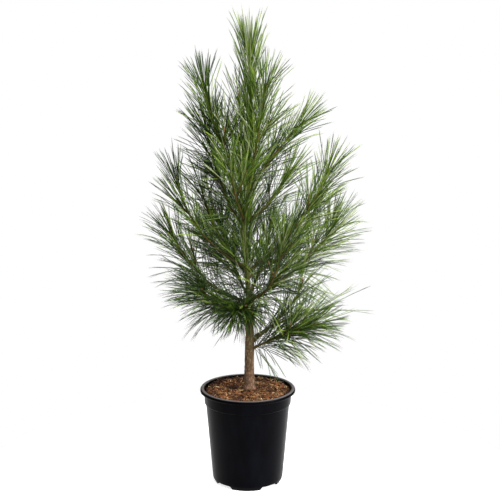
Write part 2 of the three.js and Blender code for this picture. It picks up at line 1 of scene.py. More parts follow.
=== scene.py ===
"""A young long-needled pine in a black nursery pot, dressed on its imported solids.

Sizes are in millimetres in the classes, and in metres in the meshes, the studio and the fields that end in
_m. +Z is up, the front faces -Y, and bearings turn from +X (0 degrees) to +Y (90 degrees), away from the
front.
"""

import logging
import math
from dataclasses import dataclass, field
from enum import Enum
from typing import Any, Iterable, Sequence

import bpy
import numpy as np
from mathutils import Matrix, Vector, noise

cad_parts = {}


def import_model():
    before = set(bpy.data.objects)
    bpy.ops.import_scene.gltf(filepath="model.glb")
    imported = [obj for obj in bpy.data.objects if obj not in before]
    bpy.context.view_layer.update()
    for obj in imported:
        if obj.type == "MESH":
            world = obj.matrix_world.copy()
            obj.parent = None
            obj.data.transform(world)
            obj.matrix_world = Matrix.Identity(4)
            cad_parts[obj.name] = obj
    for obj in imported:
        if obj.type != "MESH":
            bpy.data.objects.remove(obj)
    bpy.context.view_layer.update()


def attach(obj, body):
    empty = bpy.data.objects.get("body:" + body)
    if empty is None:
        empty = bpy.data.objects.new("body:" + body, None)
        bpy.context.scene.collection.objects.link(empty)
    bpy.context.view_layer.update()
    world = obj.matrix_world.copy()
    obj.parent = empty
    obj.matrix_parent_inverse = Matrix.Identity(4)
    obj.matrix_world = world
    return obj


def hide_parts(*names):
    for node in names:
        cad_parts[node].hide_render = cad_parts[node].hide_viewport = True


MM = 0.001
DM2_IN_M2 = 100
TINY = 1e-9
GOLDEN_ANGLE = math.pi * (3 - math.sqrt(5))
BODY = "root"
log = logging.getLogger("pine")

Array = np.ndarray
Colour = tuple[float, float, float, float]
Stops = tuple[tuple[float, str], ...]
Span = tuple[float, float]
Triple = tuple[float, float, float]
Socket = bpy.types.NodeSocket
Material = bpy.types.Material
Object = bpy.types.Object


# Helpers for nodes and meshes


def linear(hex_colour: str) -> Colour:
    """Turns an sRGB hex colour into linear light by the standard's curve.

    Args:
        hex_colour: six hex digits after a hash sign.

    Returns:
        Red, green and blue in linear light, and an alpha of 1.
    """
    channels = [int(hex_colour[i : i + 2], 16) / 255 for i in (1, 3, 5)]
    red, green, blue = (c / 12.92 if c <= 0.04045 else ((c + 0.055) / 1.055) ** 2.4 for c in channels)
    return red, green, blue, 1.0


def set_inputs(tree: bpy.types.NodeTree, node: bpy.types.Node, inputs: dict[Any, Any]) -> None:
    """Gives a node's inputs their values or links.

    Args:
        tree: the node tree.
        node: one of its nodes.
        inputs: values or sockets by input name or number.
    """
    for key, value in inputs.items():
        if isinstance(value, Socket):
            tree.links.new(value, node.inputs[key])
        else:
            node.inputs[key].default_value = value


def add_node(
    tree: bpy.types.NodeTree, kind: str, inputs: dict[Any, Any] | None = None, **settings: Any
) -> bpy.types.Node:
    """Adds a node with its settings and links.

    Args:
        tree: the node tree.
        kind: the node's type name.
        inputs: values or sockets by input name or number.
        **settings: attributes of the node.

    Returns:
        The new node.
    """
    node = tree.nodes.new(kind)
    for name, value in settings.items():
        setattr(node, name, value)
    set_inputs(tree, node, inputs or {})
    return node


class Graph:
    """A node tree, with a method for each node that several finishes use."""

    def __init__(self, tree: bpy.types.NodeTree) -> None:
        """Takes the tree that its nodes go into."""
        self.tree = tree

    def add(
        self, kind: str, output: str | int, inputs: dict[Any, Any] | None = None, **settings: Any
    ) -> Socket:
        """Adds a node, as add_node does, and returns one of its outputs."""
        return add_node(self.tree, kind, inputs, **settings).outputs[output]

    def place(self) -> Socket:
        """Returns the point on the object, in metres."""
        return self.add("ShaderNodeTexCoord", "Object")

    def attribute(self, name: str, output: str) -> Socket:
        """Returns an attribute of the mesh."""
        return self.add("ShaderNodeAttribute", output, attribute_name=name)

    def upward(self, vector: Socket) -> Socket:
        """Returns the height in a vector."""
        return self.add("ShaderNodeSeparateXYZ", "Z", {0: vector})

    def drawn_out(self, place: Socket, squeeze: float) -> Socket:
        """Returns a place on which a pattern is drawn out upwards."""
        return self.add("ShaderNodeMapping", "Vector", {"Vector": place, "Scale": (1.0, 1.0, squeeze)})

    def noise(self, place: Socket, size: float, detail: float, roughness: float = 0.5) -> Socket:
        """Returns cloudy noise with blots of a size in millimetres."""
        inputs = {"Vector": place, "Scale": 1 / (size * MM), "Detail": detail, "Roughness": roughness}
        return self.add("ShaderNodeTexNoise", "Fac", inputs)

    def cells(self, place: Socket, size: float, feature: str = "F1") -> Socket:
        """Returns the distances in a pattern of cells of a size in millimetres."""
        inputs = {"Vector": place, "Scale": 1 / (size * MM)}
        return self.add("ShaderNodeTexVoronoi", "Distance", inputs, feature=feature)

    def mapped(self, value: Socket, span: Span, onto: Span = (0.0, 1.0)) -> Socket:
        """Returns a value carried from one span onto another."""
        ends = dict(zip(("From Min", "From Max", "To Min", "To Max"), (*span, *onto)))
        return self.add("ShaderNodeMapRange", "Result", {"Value": value, **ends})

    def added(self, value: Socket, share: float, base: Socket) -> Socket:
        """Returns a share of one value on top of another."""
        return self.add("ShaderNodeMath", "Value", {0: value, 1: share, 2: base}, operation="MULTIPLY_ADD")

    def compared(self, value: Socket, operation: str, bound: Any) -> Socket:
        """Returns whether a value is past a bound."""
        inputs = {0: value, 1: bound}
        return self.add("FunctionNodeCompare", "Result", inputs, data_type="FLOAT", operation=operation)

    def mixed(self, share: Socket, first: Any, second: Any) -> Socket:
        """Returns a colour that goes from the first to the second."""
        # Numbers 6 and 7 are the mix node's colour inputs, and 2 is its colour output.
        return self.add("ShaderNodeMix", 2, {"Factor": share, 6: first, 7: second}, data_type="RGBA")

    def ramp(self, factor: Socket, stops: Stops) -> Socket:
        """Adds a colour ramp.

        Args:
            factor: the socket that drives it.
            stops: places from 0 to 1 with their hex colours.

        Returns:
            Its colour.
        """
        colour = self.add("ShaderNodeValToRGB", "Color", {"Fac": factor})
        elements = colour.node.color_ramp.elements
        while len(elements) < len(stops):
            elements.new(1.0)
        for element, (place, hex_colour) in zip(elements, stops):
            element.position, element.color = place, linear(hex_colour)
        return colour

    def bump(self, height: Socket, strength: float, depth: float, invert: bool = False) -> Socket:
        """Returns the normal of a relief of a depth in millimetres."""
        inputs = {"Height": height, "Strength": strength, "Distance": depth * MM}
        return self.add("ShaderNodeBump", "Normal", inputs, invert=invert)


class Surface(Graph):
    """The graph of a new material, which ends in its Principled shader."""

    def __init__(self, name: str) -> None:
        """Starts the material.

        Args:
            name: the material's name.
        """
        self.material = bpy.data.materials.new(name)
        self.material.use_nodes = True
        super().__init__(self.material.node_tree)

    def dress(
        self, colour: Any, roughness: Any, shine: float = 0.5, more: dict[str, Any] | None = None
    ) -> Material:
        """Closes the material.

        Args:
            colour: its base colour, as a value or a socket.
            roughness: how matt it is.
            shine: how strongly it mirrors.
            more: other inputs of the shader.

        Returns:
            The material.
        """
        inputs = {"Base Color": colour, "Roughness": roughness, "Specular IOR Level": shine, **(more or {})}
        set_inputs(self.tree, self.tree.nodes["Principled BSDF"], inputs)
        return self.material


def new_object(name: str, data: Any) -> Object:
    """Adds an object to the scene.

    Args:
        name: its name.
        data: its mesh, light or camera.

    Returns:
        The new object.
    """
    piece = bpy.data.objects.new(name, data)
    bpy.context.scene.collection.objects.link(piece)
    return piece


def mesh_object(
    name: str,
    points: Array,
    faces: Iterable[Sequence[int]],
    materials: Sequence[Material] = (),
    slots: Array | None = None,
    smooth: bool = True,
) -> Object:
    """Makes a mesh object at the origin from points in millimetres.

    Args:
        name: the object's name.
        points: one row for each vertex.
        faces: vertex numbers of each face.
        materials: the material slots.
        slots: the material slot of each face.
        smooth: whether its faces are shaded smooth.

    Returns:
        The object, linked to the scene.
    """
    mesh = bpy.data.meshes.new(name)
    mesh.from_pydata((np.asarray(points, float) * MM).tolist(), [], list(faces))
    for material in materials:
        mesh.materials.append(material)
    if slots is not None:
        mesh.polygons.foreach_set("material_index", np.asarray(slots, np.int32))
    mesh.polygons.foreach_set("use_smooth", np.full(len(mesh.polygons), smooth))
    mesh.update()
    return new_object(name, mesh)


def freeze(piece: Object, helpers: Sequence[Object]) -> None:
    """Replaces a piece's modifiers by the mesh that they make.

    Args:
        piece: the piece.
        helpers: objects that its modifiers use, which are removed.
    """
    depsgraph = bpy.context.evaluated_depsgraph_get()
    final = bpy.data.meshes.new_from_object(piece.evaluated_get(depsgraph))
    piece.modifiers.clear()
    piece.data = final
    for helper in helpers:
        bpy.data.objects.remove(helper)


def settle(piece: Object, nodes: Sequence[str] = ()) -> None:
    """Lets a finished piece ride on the plant's body and hides the solids that it stands for.

    Args:
        piece: the finished piece.
        nodes: the solids that it stands for.
    """
    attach(piece, BODY)
    if nodes:
        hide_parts(*nodes)
    triangles = sum(len(face.vertices) - 2 for face in piece.data.polygons)
    log.info("%s: %d triangles", piece.name, triangles)


def unit(vectors: Array) -> Array:
    """Returns rows scaled to length 1."""
    return vectors / np.maximum(np.linalg.norm(vectors, axis=-1, keepdims=True), TINY)


def blend(a: Any, b: Any, share: Any) -> Any:
    """Returns the value at a share of the way from a to b."""
    return a + (b - a) * share


def full_turn(sides: int) -> Array:
    """Returns the angles of a full turn in equal steps."""
    return np.arange(sides) * 2 * math.pi / sides


def stacked(x: Any, y: Any, z: Any) -> Array:
    """Returns points from coordinates that are spread to one shape."""
    return np.stack(np.broadcast_arrays(x, y, z), axis=-1)


def circle(radius: Any, height: Any, sides: int) -> Array:
    """Returns rings of points round the z axis at radii and heights."""
    turn = full_turn(sides)
    return stacked(radius * np.cos(turn), radius * np.sin(turn), height)


def level_line(bearing: float) -> Array:
    """Returns the level direction at a bearing in degrees."""
    angle = math.radians(bearing)
    return np.array([math.cos(angle), math.sin(angle), 0.0])


def closed_tube(rings: Array, top: Array, foot: Array, first: int = 0) -> tuple[Array, list[list[int]]]:
    """Closes a stack of rings with a fan at either end.

    Args:
        rings: levels by sides by three coordinates, from the foot up.
        top: the middle of the last ring's fan.
        foot: the middle of the first ring's fan.
        first: the number of its first vertex.

    Returns:
        Its points, the rings' before the two middles, and its faces.
    """
    levels, sides = rings.shape[:2]
    last = first + (levels - 1) * sides
    faces = []
    for j in range(sides):
        k = (j + 1) % sides
        for low in range(first, last, sides):
            faces.append([low + j, low + k, low + sides + k, low + sides + j])
        faces.append([last + sides, last + j, last + k])
        faces.append([last + sides + 1, first + k, first + j])
    return np.vstack([rings.reshape(-1, 3), [top, foot]]), faces


def prism(name: str, near: Array, far: Array) -> Object:
    """Makes a cutter between two equal outlines.

    Args:
        name: its name.
        near: the outline that is counter-clockwise from outside.
        far: the outline behind it.

    Returns:
        The cutter.
    """
    count = len(near)
    faces = [list(range(count)), list(range(2 * count - 1, count - 1, -1))]
    for i in range(count):
        j = (i + 1) % count
        faces.append([i, i + count, j + count, j])
    return mesh_object(name, np.vstack([near, far]), faces)


# Finishes


@dataclass(frozen=True)
class NeedleFinish:
    """A pine needle's waxy skin: satin, a little shiny along the back, paler on the two inner faces.

    The colour is plain, because a spray of needles has one tone all over.
    """

    name: str
    colour: str
    roughness: float = 0.42
    shine: float = 0.28

    def material(self) -> Material:
        """Returns the finish as a material."""
        material = Surface(self.name).dress(linear(self.colour), self.roughness, self.shine)
        material.diffuse_color = linear(self.colour)
        return material


class Tone(Enum):
    """The tones that the sprays are dealt: each has the needles' green backs and their pale inner faces.

    They are partly lit and shaded copies of one green, from a painted highlight to painted shade.
    """

    # A ladder from a painted highlight through sunlit green to painted shade (DEEP and DUSKY).
    PALE = ("#82905a", "#b0b98a")
    FRESH = ("#6f8e1e", "#9cb053")
    SUNLIT = ("#4f7012", "#789038")
    LEAF = ("#3c5b0c", "#617c2b")
    DEEP = ("#253c08", "#445c20")
    DUSKY = ("#172605", "#34481c")


@dataclass(frozen=True)
class Polypropylene:
    """Black moulded polypropylene: satin, very dark with a blue cast, with a fine grain from the mould.

    Faint scuffs run up its wall, and the top of the lip is painted light grey as a highlight. The grain is
    finer than the picture can show, so it is drawn 1.2 mm wide.
    """

    name: str = "moulded_polypropylene"
    colours: Stops = ((0.42, "#020204"), (0.74, "#05060a"))
    lip_highlight_colour: str = "#5a5655"
    lip_highlight_heights_m: Span = (0.2138, 0.2152)
    scuff_mm: float = 30.0
    scuff_squeeze: float = 0.35
    scuff_span: Span = (0.3, 0.7)
    roughness: Span = (0.26, 0.38)
    shine: float = 0.02
    grain_mm: float = 1.2
    grain_depth: float = 0.2

    def material(self) -> Material:
        """Returns the finish as a material."""
        graph = Surface(self.name)
        place = graph.place()
        drawn = graph.drawn_out(place, self.scuff_squeeze)
        scuffs = graph.noise(drawn, self.scuff_mm, detail=6.0, roughness=0.6)
        # Painted highlight: the top of the lip is coloured light grey by its height.
        lip_highlight = graph.mapped(graph.upward(place), self.lip_highlight_heights_m)
        colour = graph.mixed(lip_highlight, graph.ramp(scuffs, self.colours), linear(self.lip_highlight_colour))
        rough = graph.mapped(scuffs, self.scuff_span, self.roughness)
        grain = graph.noise(place, self.grain_mm, detail=2.0)
        normal = graph.bump(grain, strength=0.08, depth=self.grain_depth)
        return graph.dress(colour, rough, self.shine, {"Normal": normal})


@dataclass(frozen=True)
class Compost:
    """Damp composted bark: rough crumbs, painted near black between them as shade and red brown on top."""

    name: str = "bark_compost"
    colours: Stops = ((0.36, "#110703"), (0.52, "#3d2412"), (0.72, "#74502f"))
    crumb_mm: float = 3.5
    crumb_depth: float = 2.0
    roughness: float = 0.92
    shine: float = 0.2

    def material(self) -> Material:
        """Returns the finish as a material."""
        graph = Surface(self.name)
        crumbs = graph.noise(graph.place(), self.crumb_mm, detail=5.0, roughness=0.65)
        normal = graph.bump(crumbs, strength=0.9, depth=self.crumb_depth)
        # The colour follows the crumbs' relief: the near black in the low spots is painted shade.
        return graph.dress(graph.ramp(crumbs, self.colours), self.roughness, self.shine, {"Normal": normal})


@dataclass(frozen=True)
class ChipFinish:
    """A piece of bark or fibre in the compost: dry, finely grained, and lighter or darker in patches."""

    name: str
    dark: str
    light: str
    grain_mm: float = 2.5
    patch_mm: float = 26.0
    patchiness: float = 1.7
    shades: Span = (1.1, 1.44)
    roughness: float = 0.85
    shine: float = 0.25

    def material(self) -> Material:
        """Returns the finish as a material."""
        graph = Surface(self.name)
        place = graph.place()
        grain = graph.noise(place, self.grain_mm, detail=3.0, roughness=0.6)
        patches = graph.noise(place, self.patch_mm, detail=2.0)
        shade = graph.mapped(graph.added(patches, self.patchiness, grain), self.shades)
        colour = graph.ramp(shade, ((0.0, self.dark), (1.0, self.light)))
        return graph.dress(colour, self.roughness, self.shine)


@dataclass(frozen=True)
class TrunkBark:
    """Bark of a young pine's trunk: rough grey-brown plates below, smoother and olive green at the leader.

    The plates are about 5 mm wide and twice as tall. The pattern follows the limb by its place attribute.
    """

    name: str = "pine_bark"
    old: Stops = ((0.5, "#332719"), (0.78, "#5a4231"), (1.0, "#876b53"))
    young: Stops = ((0.5, "#262a10"), (0.85, "#565b2c"))
    young_heights_m: Span = (0.25, 0.5)
    squeeze: float = 0.45
    plate_mm: float = 5.0
    plate_share: float = 0.7
    plate_depth: float = 0.8
    grit_mm: float = 1.1
    cloud_mm: float = 14.0
    cloud_share: float = 0.5
    roughness: float = 0.85
    shine: float = 0.25

    def material(self) -> Material:
        """Returns the finish as a material."""
        graph = Surface(self.name)
        place = graph.drawn_out(graph.attribute("limb_place", "Vector"), self.squeeze)
        plates = graph.cells(place, self.plate_mm, "DISTANCE_TO_EDGE")
        grit = graph.noise(place, self.grit_mm, detail=4.0, roughness=0.7)
        relief = graph.added(plates, self.plate_share, grit)
        shade = graph.added(graph.noise(place, self.cloud_mm, detail=3.0), self.cloud_share, relief)
        greening = graph.mapped(graph.upward(graph.place()), self.young_heights_m)
        colour = graph.mixed(greening, graph.ramp(shade, self.old), graph.ramp(shade, self.young))
        normal = graph.bump(relief, strength=0.7, depth=self.plate_depth)
        return graph.dress(colour, self.roughness, self.shine, {"Normal": normal})


@dataclass(frozen=True)
class YoungBark:
    """Bark of boughs and shoots: brown at the trunk, warmer along the bough and olive green near the tip.

    The leaf cushions, which every fascicle sits on, show as small bumps about 2 mm apart, with painted shade
    between them and a little painted light on their tops.
    """

    name: str = "young_pine_bark"
    ages: Stops = ((0.2, "#5b5c22"), (0.55, "#664e25"), (1.0, "#5a4a25"))
    cushion_mm: float = 2.2
    cushion_span: Span = (0.2, 0.8)
    cushion_shade_span: Span = (1.1, 0.6)
    cushion_depth: float = 0.5
    mottle_mm: float = 5.0
    mottle_share: float = 0.4
    roughness: float = 0.7
    shine: float = 0.3

    def material(self) -> Material:
        """Returns the finish as a material."""
        graph = Surface(self.name)
        place = graph.attribute("limb_place", "Vector")
        cushions = graph.cells(place, self.cushion_mm)
        mottle = graph.noise(place, self.mottle_mm, detail=4.0)
        aged = graph.added(mottle, self.mottle_share, graph.attribute("limb_age", "Fac"))
        # Painted shade and light: the colour is darkened between the cushions and lightened on their tops.
        cushion_shade = graph.mapped(cushions, self.cushion_span, self.cushion_shade_span)
        inputs = {0: graph.ramp(aged, self.ages), "Scale": cushion_shade}
        colour = graph.add("ShaderNodeVectorMath", "Vector", inputs, operation="SCALE")
        normal = graph.bump(cushions, strength=0.5, depth=self.cushion_depth, invert=True)
        return graph.dress(colour, self.roughness, self.shine, {"Normal": normal})


@dataclass(frozen=True)
class BudScales:
    """Papery scales of a resting bud: tan brown with a dull resin gloss."""

    name: str = "bud_scales"
    colours: Stops = ((0.1, "#a98553"), (0.8, "#6b4a2a"))
    scale_mm: float = 1.4
    roughness: float = 0.5

    def material(self) -> Material:
        """Returns the finish as a material."""
        graph = Surface(self.name)
        scales = graph.cells(graph.place(), self.scale_mm)
        return graph.dress(graph.ramp(scales, self.colours), self.roughness)


# Lines and sweeps


@dataclass
class Path:
    """A line in space, sampled finely, with its length measured along it.

    Args:
        points: one row of millimetres for each sample.
        probe: how far before and behind a point its direction is taken.
        upright: the level part of a direction under which it counts as upright.
    """

    points: Array
    probe: float = 2.0
    upright: float = 1e-2

    def __post_init__(self) -> None:
        """Measures the line."""
        steps = np.linalg.norm(np.diff(self.points, axis=0), axis=1)
        self.along = np.concatenate([[0.0], np.cumsum(steps)])
        self.length = float(self.along[-1])

    def at(self, distances: Array) -> Array:
        """Returns the points at distances from the line's start."""
        return np.stack([np.interp(distances, self.along, self.points[:, i]) for i in range(3)], axis=-1)

    def frames(self, distances: Array) -> tuple[Array, Array, Array]:
        """Gives the frame at each distance.

        Args:
            distances: millimetres from the line's start.

        Returns:
            Rows of forward, across and upward directions.
        """
        low = np.clip(distances - self.probe, 0, self.length)
        high = np.clip(distances + self.probe, 0, self.length)
        forward = unit(self.at(high) - self.at(low))
        across = np.cross(np.array([0.0, 0.0, 1.0]), forward)
        across[np.linalg.norm(across, axis=-1) < self.upright] = (1.0, 0.0, 0.0)
        across = unit(across)
        return forward, across, np.cross(forward, across)


def shoot_line(
    start: Array, bearing: float, lean: Span, knee: float, length: float, steps: int = 72
) -> Path:
    """Follows a shoot that starts at a bearing and a lean and lifts to another lean.

    Args:
        start: the shoot's first point.
        bearing: degrees from +X towards +Y.
        lean: degrees above level at the start and at the tip.
        knee: the share of its length by which half of the lift is done.
        length: millimetres.
        steps: how many straight bits it has.

    Returns:
        The shoot's line.
    """
    s = (np.arange(steps) + 0.5) / steps
    done = s / (s + ((1 - s) * knee) / (1 - knee))
    angle = np.radians(blend(lean[0], lean[1], done))
    turn = math.radians(bearing)
    step = np.stack([math.cos(turn) * np.cos(angle), math.sin(turn) * np.cos(angle), np.sin(angle)], axis=1)
    return Path(np.vstack([start, start + np.cumsum(step * (length / steps), axis=0)]))


@dataclass
class LimbSweep:
    """Sweeps of round limbs, gathered so that they become one piece, with their bark's attributes."""

    points: list[Array] = field(default_factory=list)
    faces: list[list[int]] = field(default_factory=list)
    place: list[Array] = field(default_factory=list)
    age: list[Array] = field(default_factory=list)
    count: int = 0
    relief_scale: float = 0.45
    seed_shift: float = 7.3

    def add(
        self, path: Path, distances: Array, radii: Array, sides: int, age: Array, relief: float, seed: int
    ) -> None:
        """Adds one limb with closed ends.

        Args:
            path: the limb's line.
            distances: the place of each ring along it.
            radii: the radius of each ring.
            sides: corners of a ring.
            age: the bark's age at each ring, 0 at a fresh tip and 1 at the trunk.
            relief: how far the bark stands in and out, as a share of the radius.
            seed: shifts the relief from limb to limb.
        """
        centre = path.at(distances)
        _, across, upward = path.frames(distances)
        turn = full_turn(sides)
        spoke = across[:, None] * np.cos(turn)[None, :, None] + upward[:, None] * np.sin(turn)[None, :, None]
        mean = float(np.mean(radii))
        place = stacked(np.cos(turn) * mean, np.sin(turn) * mean, distances[:, None])
        shift = Vector((seed * self.seed_shift, 0, 0))
        rough = [noise.noise(Vector(spot) * self.relief_scale + shift) for spot in place.reshape(-1, 3)]
        radius = radii[:, None] * (1 + relief * np.array(rough).reshape(len(distances), sides))
        self.add_rings(centre[:, None] + spoke * radius[..., None], centre, place, age)

    def add_rings(self, rings: Array, centre: Array, place: Array, age: Array) -> None:
        """Adds a stack of rings with closed ends.

        Args:
            rings: the rings' points.
            centre: their middles.
            place: each point's place on the unrolled bark.
            age: the bark's age at each ring.
        """
        points, faces = closed_tube(rings, centre[-1], centre[0], self.count)
        self.points.append(points)
        self.faces += faces
        flat = place.reshape(-1, 3)
        self.place.append(np.vstack([flat, flat[[-1, 0]]]))
        self.age.append(np.concatenate([np.repeat(age, rings.shape[1]), age[[-1, 0]]]))
        self.count += len(points)

    def piece(self, name: str, material: Material) -> Object:
        """Makes one mesh of all limbs.

        Args:
            name: the piece's name.
            material: its bark.

        Returns:
            The piece.
        """
        piece = mesh_object(name, np.vstack(self.points), self.faces, [material])
        place = piece.data.attributes.new("limb_place", "FLOAT_VECTOR", "POINT")
        place.data.foreach_set("vector", (np.vstack(self.place) * MM).astype(np.float32).ravel())
        age = piece.data.attributes.new("limb_age", "FLOAT", "POINT")
        age.data.foreach_set("value", np.concatenate(self.age).astype(np.float32))
        return piece


# The tree's measures


@dataclass(frozen=True)
class Limb:
    """One limb: its side of the tree, where it leaves the trunk, how it lifts, and its bare length.

    A splay of its own takes the place of its tier's. Light, which is painted light and shade, shifts its
    needles' tones up or down, fill says how densely they stand, and reach how long they are beside the
    tier's.
    """

    side: str
    height: float
    bearing: float
    lean: Span
    knee: float
    length: float
    bare: float
    splay: float | None = None
    light: float = 0.0
    fill: float = 1.0
    reach: float = 1.0


@dataclass(frozen=True)
class Tier:
    """A whorl of limbs of one age, with how its needles stand, sink, swerve and crowd at the tip.

    Splay is the needles' angle off the shoot in degrees, reached over the opening's length from the tip.
    Needle gives their lengths at the tip and further down. Foot is the share of a bough's bare length, as
    packed, that has no needles at all.
    """

    name: str
    bough_radius: float
    splay: float
    droop: float
    opening: float
    needle: Span
    sag: float
    swerve: float
    crowding: float
    foot: float
    twigs: int
    limbs: tuple[Limb, ...]


TIERS = (
    Tier("first", 3.7, 46, 0.05, 34, (96, 106), 0.34, 0.16, -0.3, 0.26, 3, (
        Limb("front_right", 300, 338, (33, 22), 0.3, 166, 42, 44, -0.2, 2.4, 1.03),
        Limb("right", 314, 350, (40, 82), 0.8, 190, 66, 30, 0.0, 0.6),
        Limb("back_right", 324, 6, (34, 8), 0.5, 188, 76, 40, 0.0, 0.3, 1.12),
    )),
    Tier("second", 3.3, 54, 0.14, 85, (76, 124), 0.45, 0.14, 0.45, 0.12, 3, (
        Limb("left", 412, 175, (-4, 61), 0.24, 240, 74, 48, 0.0, 0.9, 1.04),
        Limb("front_left", 408, 251, (8, -4), 0.5, 112, 34, 84, -0.5, 2.7, 0.8),
        Limb("low_left", 402, 204, (12, 26), 0.5, 130, 46, 62, -0.3, 1.2, 1.12),
        Limb("front_right", 414, 300, (14, 78), 0.42, 226, 74, 42, -0.2, 0.9),
        Limb("right", 412, 5, (31, 76), 0.8, 256, 78, 68, 0.1, 1.3, 1.07),
        Limb("back_right", 428, 62, (38, 72), 0.5, 180, 58),
        Limb("back_left", 418, 118, (25, 68), 0.5, 205, 58, 66, 0.15, 1.65),
    )),
    Tier("third", 3.1, 34, 0.12, 50, (92, 112), 0.24, 0.055, 0.76, 0.12, 2, (
        Limb("left", 488, 190, (26, 80), 0.5, 260, 68, 22, -0.5, 0.68, 0.94),
        Limb("right", 477, 345, (38, 71), 0.6, 293, 76, 34, -0.12, 1.0),
        Limb("back_right", 466, 35, (10, 60), 0.46, 250, 72, None, 0.15, 0.65),
        Limb("back", 490, 84, (35, 72), 0.5, 215, 58, None, 0.0, 0.55),
        Limb("back_left", 474, 140, (32, 74), 0.5, 225, 58, 52, 0.65, 0.95),
    )),
    Tier("fourth", 2.9, 31, 0.06, 50, (90, 108), 0.14, 0.045, 0.84, 0.12, 1, (
        Limb("left", 582, 160, (34, 78), 0.16, 226, 52, 50, -0.65, 1.45),
        Limb("front", 590, 243, (45, 76), 0.4, 150, 40, None, 0.2, 0.7),
        Limb("right", 586, 25, (18, 58), 0.3, 150, 48),
        Limb("back", 580, 97, (42, 76), 0.5, 205, 52, None, 0.0, 0.5),
    )),
    Tier("fifth", 2.8, 29, 0.03, 50, (86, 104), 0.1, 0.04, 0.84, 0.2, 1, (
        Limb("left", 664, 200, (52, 79), 0.48, 242, 52, 32, -0.35, 1.2),
        Limb("front_right", 658, 300, (69, 76), 0.5, 240, 52, 36, 0.3, 1.15),
        Limb("right", 655, 20, (54, 44), 0.5, 189, 46),
        Limb("back", 668, 105, (54, 78), 0.5, 200, 46, None, 0.0, 0.5),
    )),
)


@dataclass
class Trunk:
    """The trunk from its flat cut on the compost to the tip under the leader's bud, with bark relief.

    A station gives a height, the centre there in x and y, and the radius.
    """

    stations: tuple[tuple[float, float, float, float], ...] = (
        (212.3, 4.0, 0.0, 13.5),
        (222, 3.6, 0.0, 11.0),
        (250, 3.2, 0.5, 9.7),
        (310, 4.1, 1.5, 8.8),
        (372, 4.4, 2.0, 8.2),
        (420, 5.6, 1.5, 7.3),
        (450, 0.6, 0.5, 6.0),
        (510, -4.8, -1.0, 5.7),
        (570, -8.8, -1.5, 5.5),
        (612, -3.8, -1.0, 4.3),
        (658, 0.7, 0.0, 3.8),
        (712, 3.5, 0.8, 3.1),
        (860, 5.6, 1.0, 2.4),
        (940, 5.0, 1.0, 1.7),
    )
    sides: int = 36
    ring_step: float = 2.2
    plate_width: float = 5.0
    plate_height: float = 11.0
    plate_slope: float = 3.2
    plate_share: float = 0.75
    fine_scale: float = 3.1
    fine_share: float = 0.45
    fine_shift: Triple = (5, 1, 3)
    relief: float = 0.085
    fade_start: float = 1.15
    fade_height: float = 560
    fade_least: float = 0.3
    flare_height: float = 16
    buttress_scale: float = 1.6
    buttress_share: float = 0.3
    buttress_shift: Span = (9, 4)
    buttress_height: float = 60
    thickening: Span = (0.07, -0.14)
    thickening_heights: Span = (400, 440)
    limb_swell: float = 0.16 / 3
    limb_swell_reach: float = 8.0

    def centre(self, height: Array) -> Array:
        """Finds the trunk's centre, which bends smoothly from station to station.

        Args:
            height: one height or several.

        Returns:
            One row for each height.
        """
        stations = np.array(self.stations)
        height = np.atleast_1d(np.asarray(height, float))
        i = np.clip(np.searchsorted(stations[:, 0], height) - 1, 0, len(stations) - 2)
        low, high = stations[i], stations[i + 1]
        share = np.clip((height - low[:, 0]) / (high[:, 0] - low[:, 0]), 0, 1)
        eased = (share * share * (3 - 2 * share) + share) / 2
        x, y = (blend(low[:, k], high[:, k], eased) for k in (1, 2))
        return np.stack([x, y, height], axis=1)

    def radius(self, height: Array) -> Array:
        """Returns the trunk's radius at heights."""
        stations = np.array(self.stations)
        return np.interp(height, stations[:, 0], stations[:, 3])

    def swell(self, around: Vector, height: float, radius: float) -> float:
        """Gives how far the bark stands out at one spot.

        Args:
            around: the spot's level direction from the centre.
            height: its height.
            radius: the trunk's radius there.

        Returns:
            A share of the radius.
        """
        above = height - self.stations[0][0]
        fade = float(np.clip(self.fade_start - above / self.fade_height, self.fade_least, 1))
        spot = around * (radius / self.plate_width)
        spot.z = height / self.plate_height
        plate = 1 - self.plate_slope * abs(noise.noise(spot))
        fine = noise.noise(spot * self.fine_scale + Vector(self.fine_shift))
        shift = Vector((*self.buttress_shift, height / self.buttress_height))
        buttress = noise.noise(around * self.buttress_scale + shift) * math.exp(-above / self.flare_height)
        rough = self.relief * fade * (self.plate_share * plate + self.fine_share * fine)
        thickening = float(np.interp(height, self.thickening_heights, self.thickening))
        return thickening + rough + self.buttress_share * buttress

    def build(self, bark: Material) -> Object:
        """Sweeps the trunk with its plates, its flare and the swellings where the whorls leave it.

        Args:
            bark: the trunk's bark.

        Returns:
            The piece.
        """
        foot, top = self.stations[0][0], self.stations[-1][0]
        heights = np.linspace(foot, top, int((top - foot) / self.ring_step) + 1)
        centre, radius = self.centre(heights), self.radius(heights)
        for limb in (limb for tier in TIERS for limb in tier.limbs):
            away = (heights - limb.height) / self.limb_swell_reach
            radius = radius * (1 + self.limb_swell * np.exp(-(away**2)))
        rings = np.zeros((len(heights), self.sides, 3))
        place = np.zeros_like(rings)
        for i, height in enumerate(heights):
            for j, angle in enumerate(full_turn(self.sides)):
                around = Vector((math.cos(angle), math.sin(angle), 0))
                r = radius[i] * (1 + self.swell(around, height, radius[i]))
                rings[i, j] = centre[i] + np.array([around.x * r, around.y * r, 0])
                place[i, j] = (around.x * radius[i], around.y * radius[i], height)
        sweep = LimbSweep()
        sweep.add_rings(rings, centre, place, np.clip(1 - (heights - foot) / (top - foot), 0, 1))
        return sweep.piece("trunk_bark", bark)


# Needles


